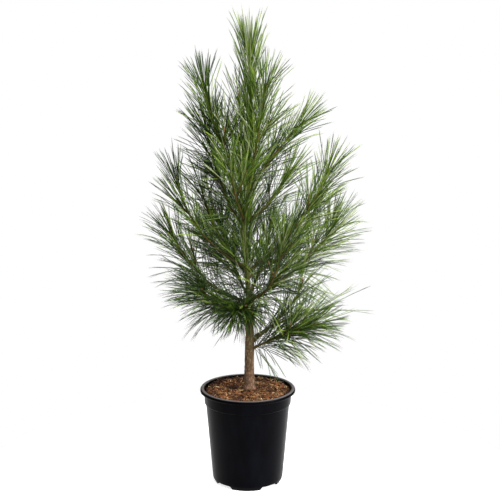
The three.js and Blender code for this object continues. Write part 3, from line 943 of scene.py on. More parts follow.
@dataclass
class Needles:
    """Needles of one piece as rows of arrays, which become one mesh of three-sided needles.

    Needles that cross the trunk below a height are left out. Spots along each, the first and last share of
    its length and their count, are tested for it.
    """

    stations: tuple[float, ...] = (0.0, 0.3, 0.6, 0.84, 1.0)
    narrowing: float = 0.15
    thickness: float = 0.62
    back_share: float = 0.35
    bend_power: float = 1.35
    tested: tuple[float, float, int] = (0.35, 1.0, 5)
    clear_below: float = 700
    clearance: float = 0.6
    rows: list[tuple[Array, ...]] = field(default_factory=list)

    def add(self, *row: Array) -> None:
        """Adds needles: where they stand and head, their outer side, bend, length, width and tone."""
        self.rows.append(row)

    def curves(self, trunk: Trunk) -> tuple[Array, Array, Array, Array, Array]:
        """Bends every needle and leaves out those that would cross the trunk.

        Args:
            trunk: the trunk that they keep clear of.

        Returns:
            The rings' centres, the forward directions there, the outer sides, widths and tones.
        """
        columns = (np.concatenate(column) for column in zip(*self.rows))
        root, heading, outward, bend, length, width, tone = columns
        centres, forwards = [root], [unit(heading)]
        for low, high in zip(self.stations, self.stations[1:]):
            middle = unit(heading + bend * ((low + high) / 2) ** self.bend_power)
            centres.append(centres[-1] + middle * (length * (high - low))[:, None])
            forwards.append(unit(heading + bend * high**self.bend_power))
        centre, forward = np.stack(centres, axis=1), np.stack(forwards, axis=1)
        clear = np.ones(len(root), bool)
        for share in np.linspace(*self.tested):
            spot = blend(centre[:, 0], centre[:, -1], share)
            height = spot[:, 2]
            gap = np.linalg.norm(spot[:, :2] - trunk.centre(height)[:, :2], axis=1)
            beside = (height > trunk.stations[0][0]) & (height < self.clear_below)
            clear &= ~(beside & (gap < trunk.radius(height) + self.clearance))
        return centre[clear], forward[clear], outward[clear], width[clear], tone[clear]

    def piece(self, name: str, materials: Sequence[Material], trunk: Trunk) -> Object:
        """Makes one mesh of all needles.

        Args:
            name: the piece's name.
            materials: the tones' outer and inner finishes in turn.
            trunk: the trunk that they keep clear of.

        Returns:
            The piece.
        """
        centre, forward, outward, width, tone = self.curves(trunk)
        count, rings = len(centre), len(self.stations) - 1
        base, ahead, away = centre[:, :rings], forward[:, :rings], outward[:, None]
        out = unit(away - ahead * np.sum(away * ahead, -1, keepdims=True))
        taper = 1 - self.narrowing * np.array(self.stations[:-1])
        half = (width[:, None] * taper[None] / 2)[..., None]
        side, deep = np.cross(ahead, out) * half, out * half * 2 * self.thickness
        back = deep * self.back_share
        corners = np.stack([base + side + back, base + back - deep, base - side + back], axis=2)
        points = np.concatenate([corners.reshape(count, rings * 3, 3), centre[:, rings:]], axis=1)
        last, edges = rings * 3 - 3, ((0, 1), (1, 2), (2, 0))
        quads = [[low + a, low + 3 + a, low + 3 + b, low + b] for low in range(0, last, 3) for a, b in edges]
        tips = [*([last + a, last + 3, last + b] for a, b in edges), [0, 1, 2]]
        first = np.arange(count)[:, None, None] * (rings * 3 + 1)
        faces, slots = [], []
        points = points.reshape(-1, 3)
        for pattern, inner in ((quads, [1, 1, 0] * (rings - 1)), (tips, [1, 1, 0, 1])):
            faces += (first + np.array(pattern)[None]).reshape(-1, len(pattern[0])).tolist()
            slots.append((tone[:, None] * 2 + np.array(inner)[None]).ravel())
        return mesh_object(name, points, faces, materials, np.concatenate(slots), smooth=False)


@dataclass
class Foliage:
    """The rule by which fascicles stand round a shoot: the golden angle, opening from the tip down.

    A fascicle has five needles, which curve in two strands. Its tone is scored by its place on the tree,
    which paints light and shade on it, by patches and by chance, and the edges between the tones cut the
    scores.
    """

    spacing: float = 1.65
    bare_tip: float = 2.0
    place_jitter: float = 0.35
    nearest: float = 0.8
    turn_jitter: float = 0.15
    tip_crowd_reach: float = 50.0
    tip_splay: float = 6.0
    foot_splay: float = 18.0
    foot_splay_power: float = 3
    splay_shares: Span = (0.25, 1.35)
    tip_fan: float = 30.0
    tip_fan_reach: float = 34.0
    tip_fan_power: float = 0.9
    length_reach: float = 50.0
    longest: float = 1.09
    shortening: float = 0.4
    shortening_power: float = 1.3
    droop_share: float = 0.45
    root_share: float = 0.55
    in_bundle: int = 5
    bundle_jitter: float = 0.25
    bundle_spread: Span = (0.06, 0.28)
    bundle_radius: float = 0.28
    wide_open: float = 1.2
    openness: Span = (0.3, 1.7)
    needle_openness: Span = (0.5, 1.4)
    strands: int = 2
    parting: float = 0.4
    turning: float = 0.08
    stray: float = 0.007
    sink_base: float = 0.5
    swing: float = 0.9
    needle_swing: float = 0.03
    least_sink: float = 0.03
    width: float = 0.6
    width_shares: Span = (0.85, 1.1)
    length_shares: Span = (0.93, 1.0)
    youth: float = 0.15
    youth_reach: float = 70
    # Painted light: needles are dealt lighter tones towards the right.
    painted_light_from_right: float = 0.4
    right_reach: float = 200
    highness: float = 0.3
    high_from: float = 350
    high_reach: float = 500
    patchiness: float = 0.75
    patch: float = 38.0
    # Painted shade: needles round the trunk are dealt darker tones (depth and core).
    depth: float = 0.7
    core: float = 75.0
    chance: Span = (0.22, 0.75)
    tone_edges: tuple[float, ...] = (0.05, 0.4, 0.75, 1.1, 1.5)

    def cover(
        self,
        needles: Needles,
        path: Path,
        bare: float,
        tier: Tier,
        radius: float,
        rng: np.random.Generator,
        limb: Limb,
        spacing: float | None = None,
    ) -> None:
        """Sets fascicles along a shoot.

        Args:
            needles: the piece that they join.
            path: the shoot's line.
            bare: how much of its foot has none.
            tier: how the tier's needles stand.
            radius: the shoot's radius at its foot.
            rng: the tree's random numbers.
            limb: the limb, whose own splay, light, fill and reach hold on its twigs too.
            spacing: millimetres of shoot for each fascicle.
        """
        spacing = (spacing or self.spacing) / limb.fill
        splay = limb.splay or tier.splay
        room = path.length - bare - self.bare_tip
        steps = np.arange(int(2 * room / spacing) + 2) * spacing
        crowded = np.cumsum(spacing * (1 - tier.crowding * np.exp(-steps / self.tip_crowd_reach)))
        from_tip = crowded[crowded < room]
        count = len(from_tip)
        moved = rng.uniform(-self.place_jitter, self.place_jitter, count) * spacing
        from_tip = np.clip(from_tip + moved, self.nearest, room)
        around = rng.uniform(0, 2 * math.pi) + GOLDEN_ANGLE * np.arange(count)
        around = around + rng.normal(0, self.turn_jitter, count)
        opened = 1 - np.exp(-from_tip / tier.opening)
        aged = self.foot_splay * (from_tip / path.length) ** self.foot_splay_power
        off = blend(self.tip_splay, splay, opened) + aged
        off = off * rng.uniform(*self.splay_shares, count)
        fan = self.tip_fan * math.sqrt(splay / tier.splay) * np.exp(-from_tip / self.tip_fan_reach)
        off = np.radians(off + fan * rng.uniform(0, 1, count) ** self.tip_fan_power)
        grown = 1 - np.exp(-from_tip / self.length_reach)
        shorter = self.shortening * rng.uniform(0, 1, count) ** self.shortening_power
        length = blend(*tier.needle, grown) * (self.longest - shorter) * limb.reach
        forward, across, upward = path.frames(path.length - from_tip)
        spoke = across * np.cos(around)[:, None] + upward * np.sin(around)[:, None]
        heading = forward * np.cos(off)[:, None] + spoke * np.sin(off)[:, None]
        heading[:, 2] -= tier.droop * self.droop_share * np.sin(off)
        start = path.at(path.length - from_tip) + spoke * radius * self.root_share
        tone = self.deal(start, from_tip, limb.light, rng)
        self.bundle(needles, start, unit(heading), off, length, tone, tier, rng)

    def deal(self, start: Array, from_tip: Array, light: float, rng: np.random.Generator) -> Array:
        """Deals each fascicle a tone: fresher near tips, lighter high up, painted light to the right,
        painted shade round the trunk.

        Args:
            start: where each fascicle stands.
            from_tip: how far it is from its shoot's tip.
            light: the limb's shift of tone, which paints light and shade on it.
            rng: the tree's random numbers.

        Returns:
            The number of its tone.
        """
        # Painted light and shade: lighter to the right where the light comes from, shifted by the limb's
        # light, darker round the trunk.
        side = np.clip(start[:, 0] / self.right_reach, -1, 1)
        height = np.clip((start[:, 2] - self.high_from) / self.high_reach, 0, 1)
        core = np.exp(-(np.hypot(start[:, 0], start[:, 1]) / self.core) ** 2) * (1 - height) ** 2
        score = self.youth * np.exp(-from_tip / self.youth_reach) + self.painted_light_from_right * side
        score += self.highness * height + light - self.depth * core
        score += self.patchiness * np.array([noise.noise(Vector(spot / self.patch)) for spot in start])
        score += rng.normal(*self.chance, len(start))
        return len(self.tone_edges) - np.searchsorted(self.tone_edges, score)

    def bundle(
        self,
        needles: Needles,
        start: Array,
        heading: Array,
        off: Array,
        length: Array,
        tone: Array,
        tier: Tier,
        rng: np.random.Generator,
    ) -> None:
        """Spreads the needles of each fascicle round its heading.

        Args:
            needles: the piece that they join.
            start: where each fascicle stands.
            heading: where each fascicle points.
            off: its angle off the shoot.
            length: its needles' length.
            tone: its tone.
            tier: how the tier's needles sink.
            rng: the tree's random numbers.
        """
        count = len(start)
        first = unit(np.cross(heading, rng.normal(size=(count, 3))))
        second = np.cross(heading, first)
        phase = rng.uniform(0, 2 * math.pi, count)
        spread = blend(*self.bundle_spread, np.clip(off / self.wide_open, 0, 1))
        swerve = rng.normal(0, tier.swerve, (count, 3))
        parting, turning = (
            [rng.normal(0, share * tier.swerve, (count, 3)) for _ in range(self.strands)]
            for share in (self.parting, self.turning)
        )
        openness = rng.uniform(*self.openness, count)
        swing = self.sink_base + rng.uniform(0, self.swing, count)
        for k in range(self.in_bundle):
            angle = phase + 2 * math.pi * k / self.in_bundle + rng.normal(0, self.bundle_jitter, count)
            outward = first * np.cos(angle)[:, None] + second * np.sin(angle)[:, None]
            wide = np.tan(np.radians(spread * openness * rng.uniform(*self.needle_openness, count)))
            strand = k % self.strands
            direction = unit(heading + outward * wide[:, None] + turning[strand])
            sink = tier.sag * np.sin(off) * (swing + rng.uniform(0, self.needle_swing, count))
            bend = swerve + parting[strand] + rng.normal(0, self.stray, (count, 3))
            bend[:, 2] -= sink + self.least_sink
            needles.add(
                start + outward * self.bundle_radius,
                direction,
                outward,
                bend,
                length * rng.uniform(*self.length_shares, count),
                self.width * rng.uniform(*self.width_shares, count),
                tone,
            )


# Crown


@dataclass(frozen=True)
class Stem:
    """How one kind of stem is swept: the step and corners of its rings, its bark's ages and its relief.

    Taper and ageing are the powers by which its radius and its age change along it. The collar is the share
    by which it thickens where it leaves the trunk.
    """

    step: float
    sides: int
    taper: float
    ages: Span
    ageing: float
    relief: float
    collar: float = 0.0
    collar_reach: float = 5.0

    def sweep(
        self, gathered: LimbSweep, path: Path, ends: Span, radii: Span, seed: int, buried: float = 0.0
    ) -> None:
        """Sweeps one stem.

        Args:
            gathered: the sweeps that it joins.
            path: its line.
            ends: where it starts and ends along the line.
            radii: its radii there.
            seed: shifts its relief.
            buried: how much of its foot is inside the trunk.
        """
        start, end = ends
        distances = np.linspace(start, end, int((end - start) / self.step) + 2)
        share = (distances - start) / (end - start)
        collar = self.collar * np.exp(-np.maximum(distances - buried, 0) / self.collar_reach)
        radius = blend(*radii, share**self.taper) * (1 + collar)
        age = blend(*self.ages, share**self.ageing)
        gathered.add(path, distances, radius, self.sides, age, self.relief, seed)


@dataclass
class Crown:
    """All limbs of the tree: boughs, twigs, buds and needles, tier by tier, and the leader."""

    trunk: Trunk
    foliage: Foliage = field(default_factory=Foliage)
    bough: Stem = Stem(1.6, 14, 0.6, (1.0, 0.6), 1.0, 0.22, 0.4)
    shoot: Stem = Stem(2.6, 9, 1.0, (0.6, 0.0), 0.7, 0.3)
    bough_tip_radius: float = 2.5
    shoot_tip_radius: float = 1.5
    overlap: float = 3.0
    twig_angle: float = 42.0
    twig_lift: float = 22.0
    steepest: float = 80.0
    twig_length: float = 60.0
    twig_lengths: Span = (0.6, 1.1)
    twig_shortening: float = 0.35
    twig_knee: float = 0.5
    twig_roll: float = 0.35
    twig_margin: float = 0.35
    twig_scatter: float = 0.3
    twig_room: float = 0.8
    twig_thickening: float = 1.25
    twig_bare: float = 6.0
    twig_spacing: float = 2.6
    leafy_least: float = 70
    full_least: float = 0.65
    leader_foot: float = 435.0
    leader_top: float = 958.0
    leader_samples: int = 80
    leader_bare: float = 12
    leader_spacing: float = 1.05
    leader_tip: float = 30
    leader_tip_samples: int = 12
    leader_seed: int = 77
    first_seed: int = 1000
    tier_seeds: int = 100
    shoot_seeds: int = 20
    twig_seeds: int = 7
    leader: Tier = Tier("leader", 2.4, 25, 0.02, 60, (110, 112), 0.08, 0.04, 0.87, 0.0, 0, ())
    leader_limb: Limb = Limb("leader", 700, 0, (90, 90), 0.5, 254, 0, None, 0.58, 1.12, 0.94)
    bud_length: float = 11.0
    bud_radius: float = 2.2
    bud_foot: float = 0.62
    bud_widening: float = 4
    bud_power: float = 1.6
    bud_point: float = 0.01
    bud_sunk: float = 2
    bud_rings: int = 7
    bud_sides: int = 8
    bud_relief: float = 0.12
    buds: LimbSweep = field(default_factory=LimbSweep)

    def twig_paths(self, path: Path, limb: Limb, tier: Tier, rng: np.random.Generator) -> list[Path]:
        """Grows a limb's side twigs, to either side in turn.

        Args:
            path: the limb's line.
            limb: its measures.
            tier: its tier.
            rng: the tree's random numbers.

        Returns:
            The twigs' lines.
        """
        twigs = []
        leafy = limb.length - limb.bare
        full = leafy > self.leafy_least and limb.fill > self.full_least
        count = tier.twigs if full else min(tier.twigs, 1)
        off = math.radians(self.twig_angle)
        for k in range(count):
            share = (k + self.twig_margin + self.twig_scatter * rng.random()) / (count + self.twig_room)
            spot = np.array([limb.bare + leafy * share])
            forward, across, upward = (rows[0] for rows in path.frames(spot))
            around = math.pi * (k % 2) + rng.normal(0, self.twig_roll)
            spoke = across * math.cos(around) + upward * math.sin(around)
            heading = unit(forward * math.cos(off) + spoke * math.sin(off))
            lean = math.degrees(math.asin(float(np.clip(heading[2], -1, 1))))
            bearing = math.degrees(math.atan2(heading[1], heading[0]))
            length = self.twig_length * rng.uniform(*self.twig_lengths) * (1 - self.twig_shortening * share)
            lifted = (lean, min(lean + self.twig_lift, self.steepest))
            twigs.append(shoot_line(path.at(spot)[0], bearing, lifted, self.twig_knee, length))
        return twigs

    def add_bud(self, path: Path) -> None:
        """Closes a shoot's tip with a pointed bud.

        Args:
            path: the shoot's line.
        """
        forward = path.frames(np.array([path.length]))[0][0]
        share = np.linspace(0, 1, self.bud_rings)
        line = Path(path.points[-1] + forward * (share[:, None] * self.bud_length - self.bud_sunk))
        pointed = np.sqrt(np.clip(1 - share**self.bud_power, self.bud_point, 1))
        radii = self.bud_radius * pointed * blend(self.bud_foot, 1, np.minimum(share * self.bud_widening, 1))
        fresh = np.zeros(self.bud_rings)
        seed = int(path.length)
        self.buds.add(line, share * self.bud_length, radii, self.bud_sides, fresh, self.bud_relief, seed)

    def grow(self, barks: dict[str, Material], tones: Sequence[Material]) -> None:
        """Builds every tier's pieces and the leader's.

        Args:
            barks: the finishes of young bark and buds.
            tones: the needles' finishes.
        """
        for number, tier in enumerate(TIERS):
            self.grow_tier(number, tier, barks["young"], tones)
        self.grow_leader(tones)
        settle(self.buds.piece("buds", barks["bud"]))

    def grow_tier(self, number: int, tier: Tier, bark: Material, tones: Sequence[Material]) -> None:
        """Builds one tier's boughs, twigs and needles, the needles in two pieces.

        Args:
            number: the tier's place from below.
            tier: its measures.
            bark: the finish of its boughs and twigs.
            tones: the needles' finishes.
        """
        boughs, twigs = LimbSweep(), LimbSweep()
        half = (len(tier.limbs) + 1) // 2
        foot_radius, tip_radius = self.bough_tip_radius, self.shoot_tip_radius
        for mark, first, limbs in (("a", 0, tier.limbs[:half]), ("b", half, tier.limbs[half:])):
            needles = Needles()
            for i, limb in enumerate(limbs, start=first):
                rng = np.random.default_rng(self.first_seed + number * self.tier_seeds + i)
                start = self.trunk.centre(limb.height)[0]
                path = shoot_line(start, limb.bearing, limb.lean, limb.knee, limb.length)
                buried = float(self.trunk.radius(limb.height))
                self.bough.sweep(boughs, path, (0, limb.bare), (tier.bough_radius, foot_radius), i, buried)
                leafy = (limb.bare - self.overlap, path.length)
                self.shoot.sweep(twigs, path, leafy, (foot_radius, tip_radius), i + self.shoot_seeds)
                self.foliage.cover(needles, path, limb.bare * tier.foot, tier, foot_radius, rng, limb)
                self.add_bud(path)
                for k, twig in enumerate(self.twig_paths(path, limb, tier, rng)):
                    radii = (tip_radius * self.twig_thickening, tip_radius)
                    self.shoot.sweep(twigs, twig, (0, twig.length), radii, i * self.twig_seeds + k)
                    spacing = self.twig_spacing
                    self.foliage.cover(needles, twig, self.twig_bare, tier, tip_radius, rng, limb, spacing)
                    self.add_bud(twig)
            masses = [f"needles_{tier.name}_{limb.side}" for limb in limbs]
            piece = needles.piece(f"needles_of_{tier.name}_tier_{mark}", tones, self.trunk)
            settle(piece, masses)
        for sweep, kind, stands_for in ((boughs, "boughs", "bough"), (twigs, "twigs", "needles")):
            names = [f"{stands_for}_{tier.name}_{limb.side}" for limb in tier.limbs]
            settle(sweep.piece(f"{kind}_of_{tier.name}_tier", bark), names)

    def grow_leader(self, tones: Sequence[Material]) -> None:
        """Sets the leader's needles round the trunk's top and closes it with a bud.

        Args:
            tones: the needles' finishes.
        """
        heights = np.linspace(self.leader_foot, self.leader_top - self.bud_length, self.leader_samples)
        path = Path(self.trunk.centre(heights))
        needles = Needles()
        rng = np.random.default_rng(self.leader_seed)
        tier, limb, radius = self.leader, self.leader_limb, self.leader.bough_radius
        self.foliage.cover(needles, path, self.leader_bare, tier, radius, rng, limb, self.leader_spacing)
        tip = np.linspace(path.length - self.leader_tip, path.length, self.leader_tip_samples)
        self.add_bud(Path(path.at(tip)))
        settle(needles.piece("needles_of_leader", tones, self.trunk), ["needles_leader"])


# Pot and compost


@dataclass
class Pot:
    """The nursery pot: a thin turned shell with a rolled lip, a collar, notched feet and drain holes."""

    lip_radius: float = 105.0
    lip_depth: float = 9.0
    lip_edge: float = 2.2
    height: float = 215.5
    wall: float = 2.0
    collar_top_radius: float = 96.9
    collar_foot_radius: float = 95.7
    collar_depth: float = 24.0
    step_width: float = 3.1
    step_depth: float = 1.4
    corner_radius: float = 78.0
    corner_height: float = 10.0
    foot_radius: float = 72.5
    foot_width: float = 11.0
    floor_height: float = 9.5
    floor_thickness: float = 2.5
    middle_foot_radius: float = 15.0
    foot_count: int = 4
    notch_half_angle: float = 20.5
    notch_height: float = 8.4
    notch_slope: float = 2.0
    notch_arch: tuple[Span, ...] = ((0, -2), (-0.7, -0.6), (-2.2, 0))
    notch_below: float = 1.0
    drain_radius: float = 6.0
    drain_circle: float = 42.0
    drain_sides: int = 32
    drain_margin: float = 3.0
    turn: float = -3.0
    sides: int = 144
    arc_points: int = 5
    arc_limit: float = 0.45
    sharp_angle: float = 32

    def profile(self) -> list[Triple]:
        """Returns the closed section as radius, height and the rounding of each corner."""
        lip_foot = self.height - self.lip_depth
        collar_foot = lip_foot - self.collar_depth
        inner_foot = self.floor_height + self.floor_thickness
        return [
            (0, 0, 0),
            (self.middle_foot_radius, 0, 0.6),
            (self.middle_foot_radius + 1.5, self.floor_height, 1.0),
            (self.foot_radius - self.foot_width - 1, self.floor_height, 1.0),
            (self.foot_radius - self.foot_width, 0, 0.8),
            (self.foot_radius, 0, 1.0),
            (self.corner_radius, self.corner_height, 3.2),
            (self.collar_foot_radius - self.step_width, collar_foot - self.step_depth, 1.2),
            (self.collar_foot_radius, collar_foot, 1.0),
            (self.collar_top_radius, lip_foot, 1.0),
            (self.lip_radius - 1, lip_foot + 0.6, 0.8),
            (self.lip_radius, lip_foot + self.lip_edge, 1.2),
            (self.lip_radius, self.height - self.lip_edge - 0.6, 1.4),
            (self.lip_radius - self.lip_edge, self.height, 1.4),
            (self.collar_top_radius + 0.6, self.height - 0.4, 1.4),
            (self.collar_top_radius - self.wall, self.height - 3.4, 1.6),
            (self.collar_top_radius - self.wall, lip_foot, 0.8),
            (self.collar_foot_radius - self.wall, collar_foot + self.step_depth, 0.8),
            (self.collar_foot_radius - self.step_width - self.wall, collar_foot - self.step_depth - 1, 0.8),
            (self.corner_radius - self.wall - 1, inner_foot, 2.0),
            (0, inner_foot, 0),
        ]

    def rounded(self) -> Array:
        """Returns the section with its corners rounded by short arcs."""
        corners = self.profile()
        line: list[Array] = []
        for i, (radius, height, rounding) in enumerate(corners):
            here = np.array([radius, height], float)
            if rounding == 0:
                line.append(here)
                continue
            before, after = (np.array(corners[k][:2], float) for k in (i - 1, i + 1))
            start, end = (
                here + unit(side - here) * min(rounding, np.linalg.norm(side - here) * self.arc_limit)
                for side in (before, after)
            )
            for t in np.linspace(0, 1, self.arc_points):
                line.append((1 - t) ** 2 * start + 2 * t * (1 - t) * here + t * t * end)
        return np.array(line)

    def shell(self, material: Material) -> Object:
        """Turns the section into the closed shell.

        Args:
            material: the pot's finish.

        Returns:
            The shell, with neither notches nor holes.
        """
        section = self.rounded()
        rings = circle(section[1:-1, :1], section[1:-1, 1:], self.sides)
        points, faces = closed_tube(rings, np.array([0, 0, section[-1, 1]]), np.array([0, 0, section[0, 1]]))
        return mesh_object("nursery_pot", points, faces, [material])

    def notch(self, bearing: float) -> Object:
        """Makes the arched cutter for the gap between two feet.

        Args:
            bearing: where the gap is, in degrees.

        Returns:
            The cutter.
        """
        half = self.foot_radius * math.sin(math.radians(self.notch_half_angle))
        narrow = half - self.notch_slope
        arch = [np.array([narrow + x, self.notch_height + z]) for x, z in self.notch_arch]
        arch += [point * (-1, 1) for point in reversed(arch)]
        outline = np.array([(-half, -self.notch_below), (half, -self.notch_below), *arch])
        outward = level_line(bearing)
        flat = outline @ np.array([level_line(bearing - 90), (0, 0, 1)])
        near, far = self.corner_radius - 2 * self.foot_width, self.corner_radius + self.foot_width
        return prism("notch_cutter", flat + near * outward, flat + far * outward)

    def drain(self, bearing: float) -> Object:
        """Makes the round cutter for a drain hole.

        Args:
            bearing: where the hole is, in degrees.

        Returns:
            The cutter.
        """
        ring = circle(self.drain_radius, self.floor_height, self.drain_sides)
        ring = ring + self.drain_circle * level_line(bearing)
        top = np.array([0, 0, self.floor_thickness + self.drain_margin])
        foot = np.array([0, 0, -self.drain_margin])
        return prism("drain_cutter", ring + top, ring + foot)

    def build(self, material: Material) -> None:
        """Builds the pot, cuts its notches and drain holes and lets it stand for its solid.

        Args:
            material: the pot's finish.
        """
        pot = self.shell(material)
        cutters = []
        for i in range(self.foot_count):
            middle = 360 / self.foot_count * (i + 0.5) + self.turn
            cutters += [self.notch(middle), self.drain(middle)]
        for cutter in cutters:
            cut = pot.modifiers.new("cut", "BOOLEAN")
            cut.operation, cut.object, cut.solver = "DIFFERENCE", cutter, "EXACT"
        freeze(pot, cutters)
        pot.data.set_sharp_from_angle(angle=math.radians(self.sharp_angle))
        settle(pot, ["pot"])


@dataclass(frozen=True)
class ChipKind:
    """One kind of piece in the compost: its shape in millimetres, its finish and how many there are.

    Its outline is made at some stations. Tapering and the end share narrow it towards its ends, raggedness
    and wander vary its width and its middle, and flatness is how much of its thickness stays there.
    """

    name: str
    length: float
    width: float
    thickness: float
    curl: float
    count_per_dm2: float
    smallest: float
    largest: float
    tilt: float
    finish: ChipFinish
    seed: int
    stations: int = 5
    end_share: float = 0.08
    tapering: float = 0.85
    raggedness: Span = (0.8, 1.1)
    flatness: float = 0.6
    wander: float = 0.06

    def pattern(self) -> Object:
        """Makes one chip: a bent bar with an uneven outline and closed ends."""
        rng = np.random.default_rng(self.seed)
        points, faces = [], []
        corners = ((-1, -1), (1, -1), (1, 1), (-1, 1))
        sides = len(corners)
        for i, s in enumerate(np.linspace(-0.5, 0.5, self.stations)):
            narrow = math.sqrt(max(self.end_share, 1 - (2 * s) ** 2 * self.tapering))
            narrow *= rng.uniform(*self.raggedness)
            w, t = self.width / 2 * narrow, self.thickness / 2 * blend(self.flatness, 1, narrow)
            shift, lift = rng.normal(0, self.wander) * self.width, -self.curl * (2 * s) ** 2
            low = len(points) - sides
            for y, z in corners:
                points.append((s * self.length, y * w + shift, z * t + lift))
            for j in range(sides if i else 0):
                a, b = low + j, low + (j + 1) % sides
                faces.append([a, a + sides, b + sides, b])
        end = len(points) - sides
        faces += [[0, 1, 2, 3], [end + 3, end + 2, end + 1, end]]
        return mesh_object(f"{self.name}_pattern", np.array(points), faces, smooth=False)


@dataclass
class CompostBed:
    """The compost: a lumpy mound that fills the pot, covered with bark chips, fibres and crumbs.

    Mound gives its outline from the rim in: radii with their rises above the edge. Its lumps are fractal
    noise, with an exponent, a step in scale and a number of octaves, and clods of finer noise on top.
    """

    edge_height: float = 204.0
    middle_height: float = 212.0
    edge_radius: float = 94.2
    mound: tuple[Span, ...] = ((94.2, -2), (91.5, 5.8), (84, 7), (58, 6.2), (36, 6), (17, 8), (0, 8))
    rings: int = 54
    spokes: int = 160
    lump_height: float = 4.6
    lump_mm: float = 13.0
    lump_fractal: tuple[float, float, int] = (0.9, 2.1, 4)
    clod_share: float = 0.5
    clod_mm: float = 3.0
    clod_shift: float = 5
    back_rise: float = 1.6
    skirt: float = 12.0
    least_upward: float = 0.3
    rim_share: float = 0.45
    kinds: tuple[ChipKind, ...] = (
        ChipKind("bark_chips", 15.0, 8.0, 2.4, 0.8, 60, 0.35, 1.1, 0.6,
                 ChipFinish("bark_chip_brown", "#1a0b04", "#5f3a20"), 3),
        ChipKind("red_bark_chips", 12.0, 5.0, 1.8, 0.8, 110, 0.35, 1.1, 0.7,
                 ChipFinish("bark_chip_red", "#2c1306", "#7d4826"), 5),
        ChipKind("tan_bark_chips", 12.0, 3.6, 1.5, 0.8, 90, 0.35, 1.1, 0.8,
                 ChipFinish("bark_chip_tan", "#43270f", "#9d744c"), 7),
        ChipKind("coir_fibres", 22.0, 0.9, 0.7, 5.0, 260, 0.35, 1.0, 0.8,
                 ChipFinish("coir_fibre", "#4d2e19", "#b58c5c"), 9),
        ChipKind("pale_slivers", 13.0, 2.0, 1.0, 0.8, 60, 0.4, 1.0, 0.8,
                 ChipFinish("wood_sliver", "#7b5c3c", "#d6bb8e"), 11),
        ChipKind("dark_crumbs", 5.0, 4.0, 2.8, 0.2, 170, 0.4, 1.1, 1.2,
                 ChipFinish("bark_crumb", "#0f0602", "#3a2110"), 13),
    )

    def build_mound(self, material: Material) -> Object:
        """Builds the mound's lumpy top with a skirt that goes down inside the pot.

        Args:
            material: the compost.

        Returns:
            The mound.
        """
        radii = np.linspace(self.edge_radius, self.edge_radius / self.rings, self.rings)
        outline = np.array(self.mound[::-1], float)
        base = self.edge_height + np.interp(radii, outline[:, 0], outline[:, 1])
        grid = np.zeros((self.rings, self.spokes, 3))
        for i, radius in enumerate(radii):
            for j, angle in enumerate(full_turn(self.spokes)):
                x, y = radius * math.cos(angle), radius * math.sin(angle)
                lump = noise.fractal(Vector((x, y, 0)) / self.lump_mm, *self.lump_fractal)
                lump += self.clod_share * noise.noise(Vector((x, y, self.clod_shift)) / self.clod_mm)
                rise = self.lump_height * lump + self.back_rise * y / self.edge_radius
                grid[i, j] = (x, y, base[i] + rise)
        grid[0, :, 2] = np.minimum(grid[0, :, 2], self.edge_height)
        foot = self.edge_height - self.skirt
        rings = np.vstack([grid[:1] * (1, 1, 0) + (0, 0, foot), grid])
        points, faces = closed_tube(rings, np.array([0, 0, self.middle_height]), np.array([0, 0, foot]))
        return mesh_object("compost_mound", points, faces, [material])

    def scatter_tree(self) -> bpy.types.NodeTree:
        """Builds the Geometry Nodes tree that strews chips over a surface.

        Returns:
            A tree with inputs for the chip, its finish, density, sizes, tilt and seed.
        """
        tree = bpy.data.node_groups.new("strew_chips", "GeometryNodeTree")
        kinds = {"Surface": "Geometry", "Chip": "Object", "Finish": "Material", "Seed": "Int"}
        measures = ("Per square metre", "Smallest", "Largest", "Tilt", "Reach")
        for name in ("Surface", "Chip", "Finish", *measures, "Seed"):
            kind = f"NodeSocket{kinds.get(name, 'Float')}"
            tree.interface.new_socket(name, in_out="INPUT", socket_type=kind)
        tree.interface.new_socket("Chips", in_out="OUTPUT", socket_type="NodeSocketGeometry")
        graph = Graph(tree)
        given = add_node(tree, "NodeGroupInput").outputs
        seed, tilt = given["Seed"], given["Tilt"]
        up = graph.upward(graph.add("GeometryNodeInputNormal", "Normal"))
        facing = graph.compared(up, "GREATER_THAN", self.least_upward)
        position = graph.add("GeometryNodeInputPosition", "Position")
        flat = graph.add("ShaderNodeVectorMath", "Vector", {0: position, 1: (1, 1, 0)}, operation="MULTIPLY")
        radius = graph.add("ShaderNodeVectorMath", "Value", {0: flat}, operation="LENGTH")
        within = graph.compared(radius, "LESS_THAN", given["Reach"])
        kept = graph.add("FunctionNodeBooleanMath", "Boolean", {0: facing, 1: within}, operation="AND")
        density = given["Per square metre"]
        inputs = {"Mesh": given["Surface"], "Selection": kept, "Density": density, "Seed": seed}
        spots = graph.add("GeometryNodeDistributePointsOnFaces", "Points", inputs)
        untilt = graph.add("ShaderNodeMath", "Value", {0: tilt, 1: -1.0}, operation="MULTIPLY")
        low = graph.add("ShaderNodeCombineXYZ", 0, {"X": untilt, "Y": untilt, "Z": 0.0})
        high = graph.add("ShaderNodeCombineXYZ", 0, {"X": tilt, "Y": tilt, "Z": 2 * math.pi})
        inputs = {"Min": low, "Max": high, "Seed": seed}
        turned = graph.add("FunctionNodeRandomValue", "Value", inputs, data_type="FLOAT_VECTOR")
        inputs = {2: given["Smallest"], 3: given["Largest"], "Seed": seed}
        sized = graph.add("FunctionNodeRandomValue", 1, inputs, data_type="FLOAT")
        chip = graph.add("GeometryNodeObjectInfo", "Geometry", {"Object": given["Chip"]})
        inputs = {"Points": spots, "Instance": chip, "Rotation": turned, "Scale": sized}
        strewn = graph.add("GeometryNodeInstanceOnPoints", "Instances", inputs)
        real = graph.add("GeometryNodeRealizeInstances", "Geometry", {"Geometry": strewn})
        inputs = {"Geometry": real, "Material": given["Finish"]}
        dressed = graph.add("GeometryNodeSetMaterial", "Geometry", inputs)
        add_node(tree, "NodeGroupOutput", {"Chips": dressed})
        return tree

